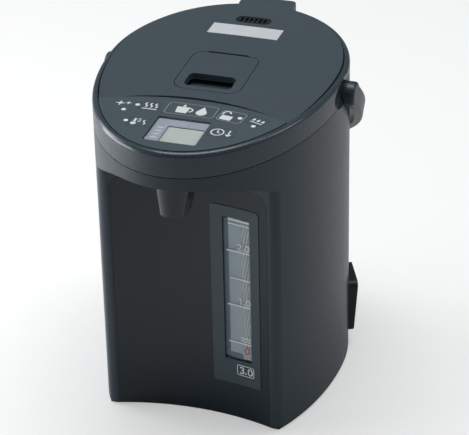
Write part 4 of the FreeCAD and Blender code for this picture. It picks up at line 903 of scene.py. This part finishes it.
@dataclass
class Display:
    """Printed mask under the display's glass, and the display seen through it."""

    shop: Workshop
    left: float = -20.9
    right: float = 20.9
    rear: float = -92.9
    front: float = -130.9
    under_glass: float = 279.95
    module_top: float = 277.1
    view: tuple[float, float, float, float] = (-9.6, 20.1, -129.7, -103.6)
    mask_thick: float = 0.25
    shade_wide: float = 0.5
    shade_deep: float = 0.3
    face_under: float = 0.35
    face_over: float = 1.0
    face_over_right: float = 0.6
    mark_sides: Point = (-17.5, -12.5)
    mark_fronts: tuple[float, ...] = (-108.0, -113.5, -119.0, -124.5)
    mark_long: float = 1.2
    mark_heights: Point = (0.005, 0.03)

    def piece(self, name: str, finish: str, boxes: Sequence[tuple[Triple, Triple]]) -> None:
        """Make one piece out of boxes.

        Args:
            name: the piece's name.
            finish: key of its finish.
            boxes: the lower and the upper corner of each box.
        """
        mesh = bmesh.new()
        for low, high in boxes:
            slab(mesh, low, high)
        self.shop.finish(mesh, name, finish, "pot", "lcd")

    def build(self) -> None:
        """Make the mask, the painted shade under its rear and left edges, the display's face and the marks
        beside it.
        """
        x_low, x_high, y_low, y_high = self.view
        low, high = self.under_glass - self.mask_thick, self.under_glass
        self.piece("display_mask", "mask", (
            ((self.left, self.front, low), (x_low, self.rear, high)),
            ((x_high, self.front, low), (self.right, self.rear, high)),
            ((x_low, y_high, low), (x_high, self.rear, high)),
            ((x_low, self.front, low), (x_high, y_low, high)),
        ))
        # Painted shade: a dark strip under the mask's rear and left edges, where shade falls on the display.
        shade_low, shade_rear = low - self.shade_deep, y_high - self.shade_wide
        self.piece("display_edge_shade", "dark", (
            ((x_low, shade_rear, shade_low), (x_high, y_high, low)),
            ((x_low, y_low, shade_low), (x_low + self.shade_wide, shade_rear, low)),
        ))
        self.piece("display_face", "lcd", ((
            (x_low - self.face_over, y_low - self.face_over, self.module_top),
            (x_high + self.face_over_right, y_high + self.face_over, low - self.face_under),
        ),))
        (left, right), (foot, top) = self.mark_sides, self.mark_heights
        self.piece("display_marks", "white_ink", [
            ((left, along, high + foot), (right, along + self.mark_long, high + top))
            for along in self.mark_fronts
        ])


@dataclass
class GaugePrint:
    """Film behind the gauge's window, its marks and numbers, and the plain number on the frame.

    Places across run from left over strip and slot to right, and heights from low over foot to high.
    """

    shop: Workshop
    left: float = 26.7
    strip: float = 31.0
    slot: float = 42.4
    right: float = 50.1
    low: float = 60.2
    foot: float = 66.0
    high: float = 194.9
    corner: float = 1.4
    film_inset: float = 1.6
    film_thick: float = 0.1
    number_left: float = 39.2
    number_tall: float = 5.6
    number_line: float = 1.0
    # Start, height and width of each level line.
    levels: tuple[Triple, ...] = (
        (31.4, 193.4, 1.8), (31.4, 189.6, 1.3), (29.6, 164.4, 1.4),
        (32.0, 138.7, 1.2), (29.6, 113.1, 1.4), (29.8, 77.2, 1.3))
    ripples: Point = (80.0, 82.6)
    stripe_count: int = 15
    stripe_start: float = -25.5
    stripe_pitch: float = 2.5
    stripe_lean: float = 0.2
    stripe_line: float = 0.8
    stripe_margin: float = 0.4
    stripe_thick: float = 0.03
    stripe_rise: float = 2.0
    stripe_tall: float = 131.0
    stripe_steps: int = 40

    def finish(self, stencil: Stencil, name: str, finish: str, slot: str = "window") -> None:
        """Hand a print over to the workshop."""
        self.shop.finish(stencil.mesh, name, finish, "pot", slot)

    def film(self, name: str, sides: Point, heights: Point) -> None:
        """Lay one strip of film behind the window.

        Args:
            name: the piece's name, which is also the key of its finish.
            sides: its left and right edges.
            heights: its lower and upper edges.
        """
        (x_low, x_high), (z_low, z_high) = sides, heights
        window = from_front(self.shop.node("gauge_window"), self.film_inset)
        stencil = Stencil(window, BACKWARD, self.film_thick)
        steps = max(1, round((x_high - x_low) / 2))
        for i in range(steps):
            a, b = (x_low + (x_high - x_low) * k / steps for k in (i, i + 1))
            stencil.patch([(a, z_low), (b, z_low), (b, z_high), (a, z_high)])
        self.finish(stencil, name, name, "scale")

    def films(self) -> None:
        """Lay the four strips, the outer two short of the window's rounded corners; the darker side and foot
        strips are painted shade of the frame's inner walls.
        """
        inner = (self.low + self.corner, self.high - self.corner)
        # The side and foot strips carry painted shade of the frame's inner walls.
        self.film("side_shade_film", (self.left, self.strip), inner)
        self.film("film_main", (self.strip, self.slot), (self.foot, self.high))
        self.film("foot_shade_film", (self.strip, self.slot), (self.low, self.foot))
        self.film("film_strip", (self.slot, self.right), inner)

    def marks(self, window: Layout) -> None:
        """Print the level lines, the numbers and the ripples.

        Args:
            window: layout on the window.
        """
        art = Stencil(window, FORWARD)
        for start, height, width in self.levels:
            stops = [start + (self.right - start) * i / 8 for i in range(9)]
            art.stroke([(stop, height) for stop in stops], width)
        art.number("2.0", self.number_left, 166.2, self.number_tall, self.number_line)
        art.number("1.0", self.number_left, 114.9, self.number_tall, self.number_line)
        for rise in self.ripples:
            art.stroke([(40.8 + 0.75 * i, rise + 0.6 * math.sin(i * math.pi / 3)) for i in range(13)], 0.9)
        self.finish(art, "gauge_marks", "white_ink")

    def stripes(self, window: Layout) -> None:
        """Print the leaning stripes beside the tube, each cut off at the strip's sides.

        Args:
            window: layout on the window.
        """
        art = Stencil(window, FORWARD, self.stripe_thick)
        shares = [step / self.stripe_steps for step in range(self.stripe_steps + 1)]
        heights = [self.low + self.stripe_rise + self.stripe_tall * share for share in shares]
        left, right = self.slot + self.stripe_margin, self.right - self.stripe_margin
        for number in range(self.stripe_count):
            foot = self.slot + self.stripe_start + self.stripe_pitch * number
            run = [(foot + self.stripe_lean * (height - self.low), height) for height in heights]
            shown = [spot for spot in run if left < spot[0] < right]
            if len(shown) > 1:
                art.stroke(shown, self.stripe_line)
        self.finish(art, "gauge_stripes", "stripe")

    def build(self) -> None:
        """Make the films, the marks and the numbers."""
        self.films()
        window = from_front(self.shop.node("gauge_window"))
        self.marks(window)
        self.stripes(window)
        red = Stencil(window, FORWARD)
        red.stroke(moved(drop(2.3), 46.3, 70.2), 0.9, closed=True)
        self.finish(red, "gauge_red_mark", "red_ink")
        plain = Stencil(from_front(self.shop.node("gauge_bezel")), FORWARD)
        plain.stroke(moved(round_box(15.0, 9.6, 1.4), 44.6, 50.6), 0.6, closed=True)
        plain.number("3.0", self.number_left, 47.6, 6.0, 1.1)
        self.finish(plain, "gauge_number", "white_ink", "bezel")


@dataclass(frozen=True)
class SoftBox:
    """One soft studio lamp: its place, width and height in metres, its watts and the point it faces."""

    name: str
    at: Triple
    size: Point
    power: float
    aim: Triple = (0, 0, 0.15)

    def build(self) -> None:
        """Hang the lamp, unseen by the camera."""
        data = bpy.data.lights.new(self.name, "AREA")
        data.shape = "RECTANGLE"
        data.size, data.size_y = self.size
        data.energy = self.power
        item = into_scene(self.name, data)
        item.visible_camera = False
        item.location = self.at
        item.rotation_euler = (Vector(self.aim) - Vector(self.at)).to_track_quat("-Z", "Y").to_euler()


@dataclass
class Studio:
    """Camera at the photograph's angle, soft studio lights and a pale floor.

    Lengths are in metres, angles in degrees, and the focal length and the centre in the image's pixels.
    """

    eye: Triple = (0.5243, -1.5554, 1.0968)
    azimuth: float = 18.49
    elevation: float = 29.8
    roll: float = -1.38
    focal_px: float = 2248.98
    centre_px: Point = (229.462, 201.015)
    view_end: float = 20.0
    floor_half: float = 6.0
    floor_grey: Color = (0.62, 0.62, 0.62, 1)
    floor_glow: float = 0.42
    air_color: Color = (0.88, 0.95, 1, 1)
    air_strength: float = 0.17
    boxes: tuple[SoftBox, ...] = (
        SoftBox("left box", (-1.8, 0.3, 0.9), (0.8, 1.4), 11.0),
        SoftBox("low left box", (-0.75, -0.2, 0.03), (0.7, 0.9), 9.0, (0, -0.05, 0.24)),
        SoftBox("right box", (1.6, 0.6, 1.3), (0.6, 1.2), 5.0),
        SoftBox("top box", (0.0, 0.3, 2.2), (1.6, 1.2), 26.0),
    )

    def camera(self) -> None:
        """Set up the camera from the solved view."""
        az, el, roll = (math.radians(a) for a in (self.azimuth, self.elevation, self.roll))
        right = Vector((math.cos(az), math.sin(az), 0))
        ahead = Vector((-math.sin(az) * math.cos(el), math.cos(az) * math.cos(el), -math.sin(el)))
        up = right.cross(ahead)
        side = right * math.cos(roll) + up * math.sin(roll)
        top = up * math.cos(roll) - right * math.sin(roll)
        width, height = IMAGE
        data = bpy.data.cameras.new("camera")
        data.lens = self.focal_px * data.sensor_width / width
        data.shift_x = (width / 2 - self.centre_px[0]) / width
        data.shift_y = (self.centre_px[1] - height / 2) / width
        data.clip_end = self.view_end
        item = into_scene("camera", data)
        item.matrix_world = Matrix.Translation(self.eye) @ Matrix((side, top, -ahead)).transposed().to_4x4()
        bpy.context.scene.camera = item

    def world(self) -> None:
        """Dim, cool surroundings that are white to the camera."""
        world = bpy.data.worlds.new("studio")
        tree = new_tree(world)
        path = add(tree, "ShaderNodeLightPath")
        air = add(tree, "ShaderNodeBackground", {"Color": self.air_color, "Strength": self.air_strength})
        white = add(tree, "ShaderNodeBackground", {"Color": (1, 1, 1, 1), "Strength": 1.0})
        mix = add(tree, "ShaderNodeMixShader", None,
                  {0: path.outputs["Is Camera Ray"], 1: air.outputs[0], 2: white.outputs[0]})
        add(tree, "ShaderNodeOutputWorld", None, {"Surface": mix.outputs[0]})
        bpy.context.scene.world = world

    def floor(self) -> None:
        """Pale floor that stays nearly white to the camera but keeps the pot's shadow."""
        mesh = bmesh.new()
        bmesh.ops.create_grid(mesh, x_segments=1, y_segments=1, size=self.floor_half)
        item = as_object(mesh, "floor")
        material = bpy.data.materials.new("Painted board, floor")
        tree = new_tree(material)
        path = add(tree, "ShaderNodeLightPath")
        paint = add(tree, "ShaderNodeBsdfDiffuse", {"Color": self.floor_grey})
        strength = compute(tree, "MULTIPLY", path.outputs["Is Camera Ray"], self.floor_glow)
        glow = add(tree, "ShaderNodeEmission", {"Color": (1, 1, 1, 1)}, {"Strength": strength})
        both = add(tree, "ShaderNodeAddShader", None, {0: paint.outputs[0], 1: glow.outputs[0]})
        add(tree, "ShaderNodeOutputMaterial", None, {"Surface": both.outputs[0]})
        item.data.materials.append(material)

    def build(self) -> None:
        """Build the whole studio."""
        self.camera()
        self.world()
        self.floor()
        for box in self.boxes:
            box.build()
        bpy.context.scene.view_settings.view_transform = "Standard"


NODE_FINISHES: dict[str, str] = {
    "outer_body": "casing", "front_panel": "front", "gauge_bezel": "bezel", "gauge_window": "window",
    "gauge_scale": "scale", "gauge_tube": "tube", "gauge_float": "red", "gauge_cap": "silicone",
    "gauge_elbow": "silicone", "spout_cover": "spout", "spout_nozzle": "dark", "outlet_pipe": "silicone",
    "shoulder_collar": "collar", "control_panel": "panel", "dispense_key": "panel", "unlock_key": "panel",
    "slow_pour_key": "panel", "reboil_key": "panel", "keep_warm_key": "panel", "timer_key": "panel",
    "led_lenses": "lamp", "lcd_window": "lcd_glass", "lcd_module": "lcd", "control_board": "circuit",
    "tact_switches": "dark", "lid_cover": "lid", "lid_inner": "inner", "lid_gasket": "silicone",
    "steam_grille": "grille", "steam_pipe": "silicone", "valve_cage": "inner", "valve_ball": "steel",
    "lid_lever": "lid", "lever_pin": "steel", "lever_spring": "steel", "lid_latch": "dark",
    "latch_spring": "steel", "hinge_pin": "steel", "caution_label": "sticker", "handle_bail": "handle",
    "handle_pins": "steel", "vessel_liner": "steel", "vessel_jacket": "steel", "vessel_seal": "silicone",
    "heater_plate": "alloy", "thermistor": "alloy", "vessel_support": "under", "base_screws": "zinc",
    "pump_housing": "inner", "pump_impeller": "inner", "pump_spindle": "steel", "suction_tube": "silicone",
    "motor_can": "zinc", "motor_rotor": "zinc", "base_plate": "under", "rubber_feet": "rubber",
    "power_board": "circuit", "power_inlet": "dark", "inlet_contacts": "brass", "inlet_keepers": "zinc",
}


def main() -> None:
    """Build the looks in order."""
    logging.basicConfig(level=logging.INFO, format="%(name)s: %(message)s")
    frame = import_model()
    workshop = Workshop(Palette(), frame)
    for node, finish in NODE_FINISHES.items():
        workshop.dress(node, finish)
    PanelPrint(workshop).build()
    Display(workshop).build()
    GaugePrint(workshop).build()
    Studio().build()


if __name__ == "__main__":
    main()
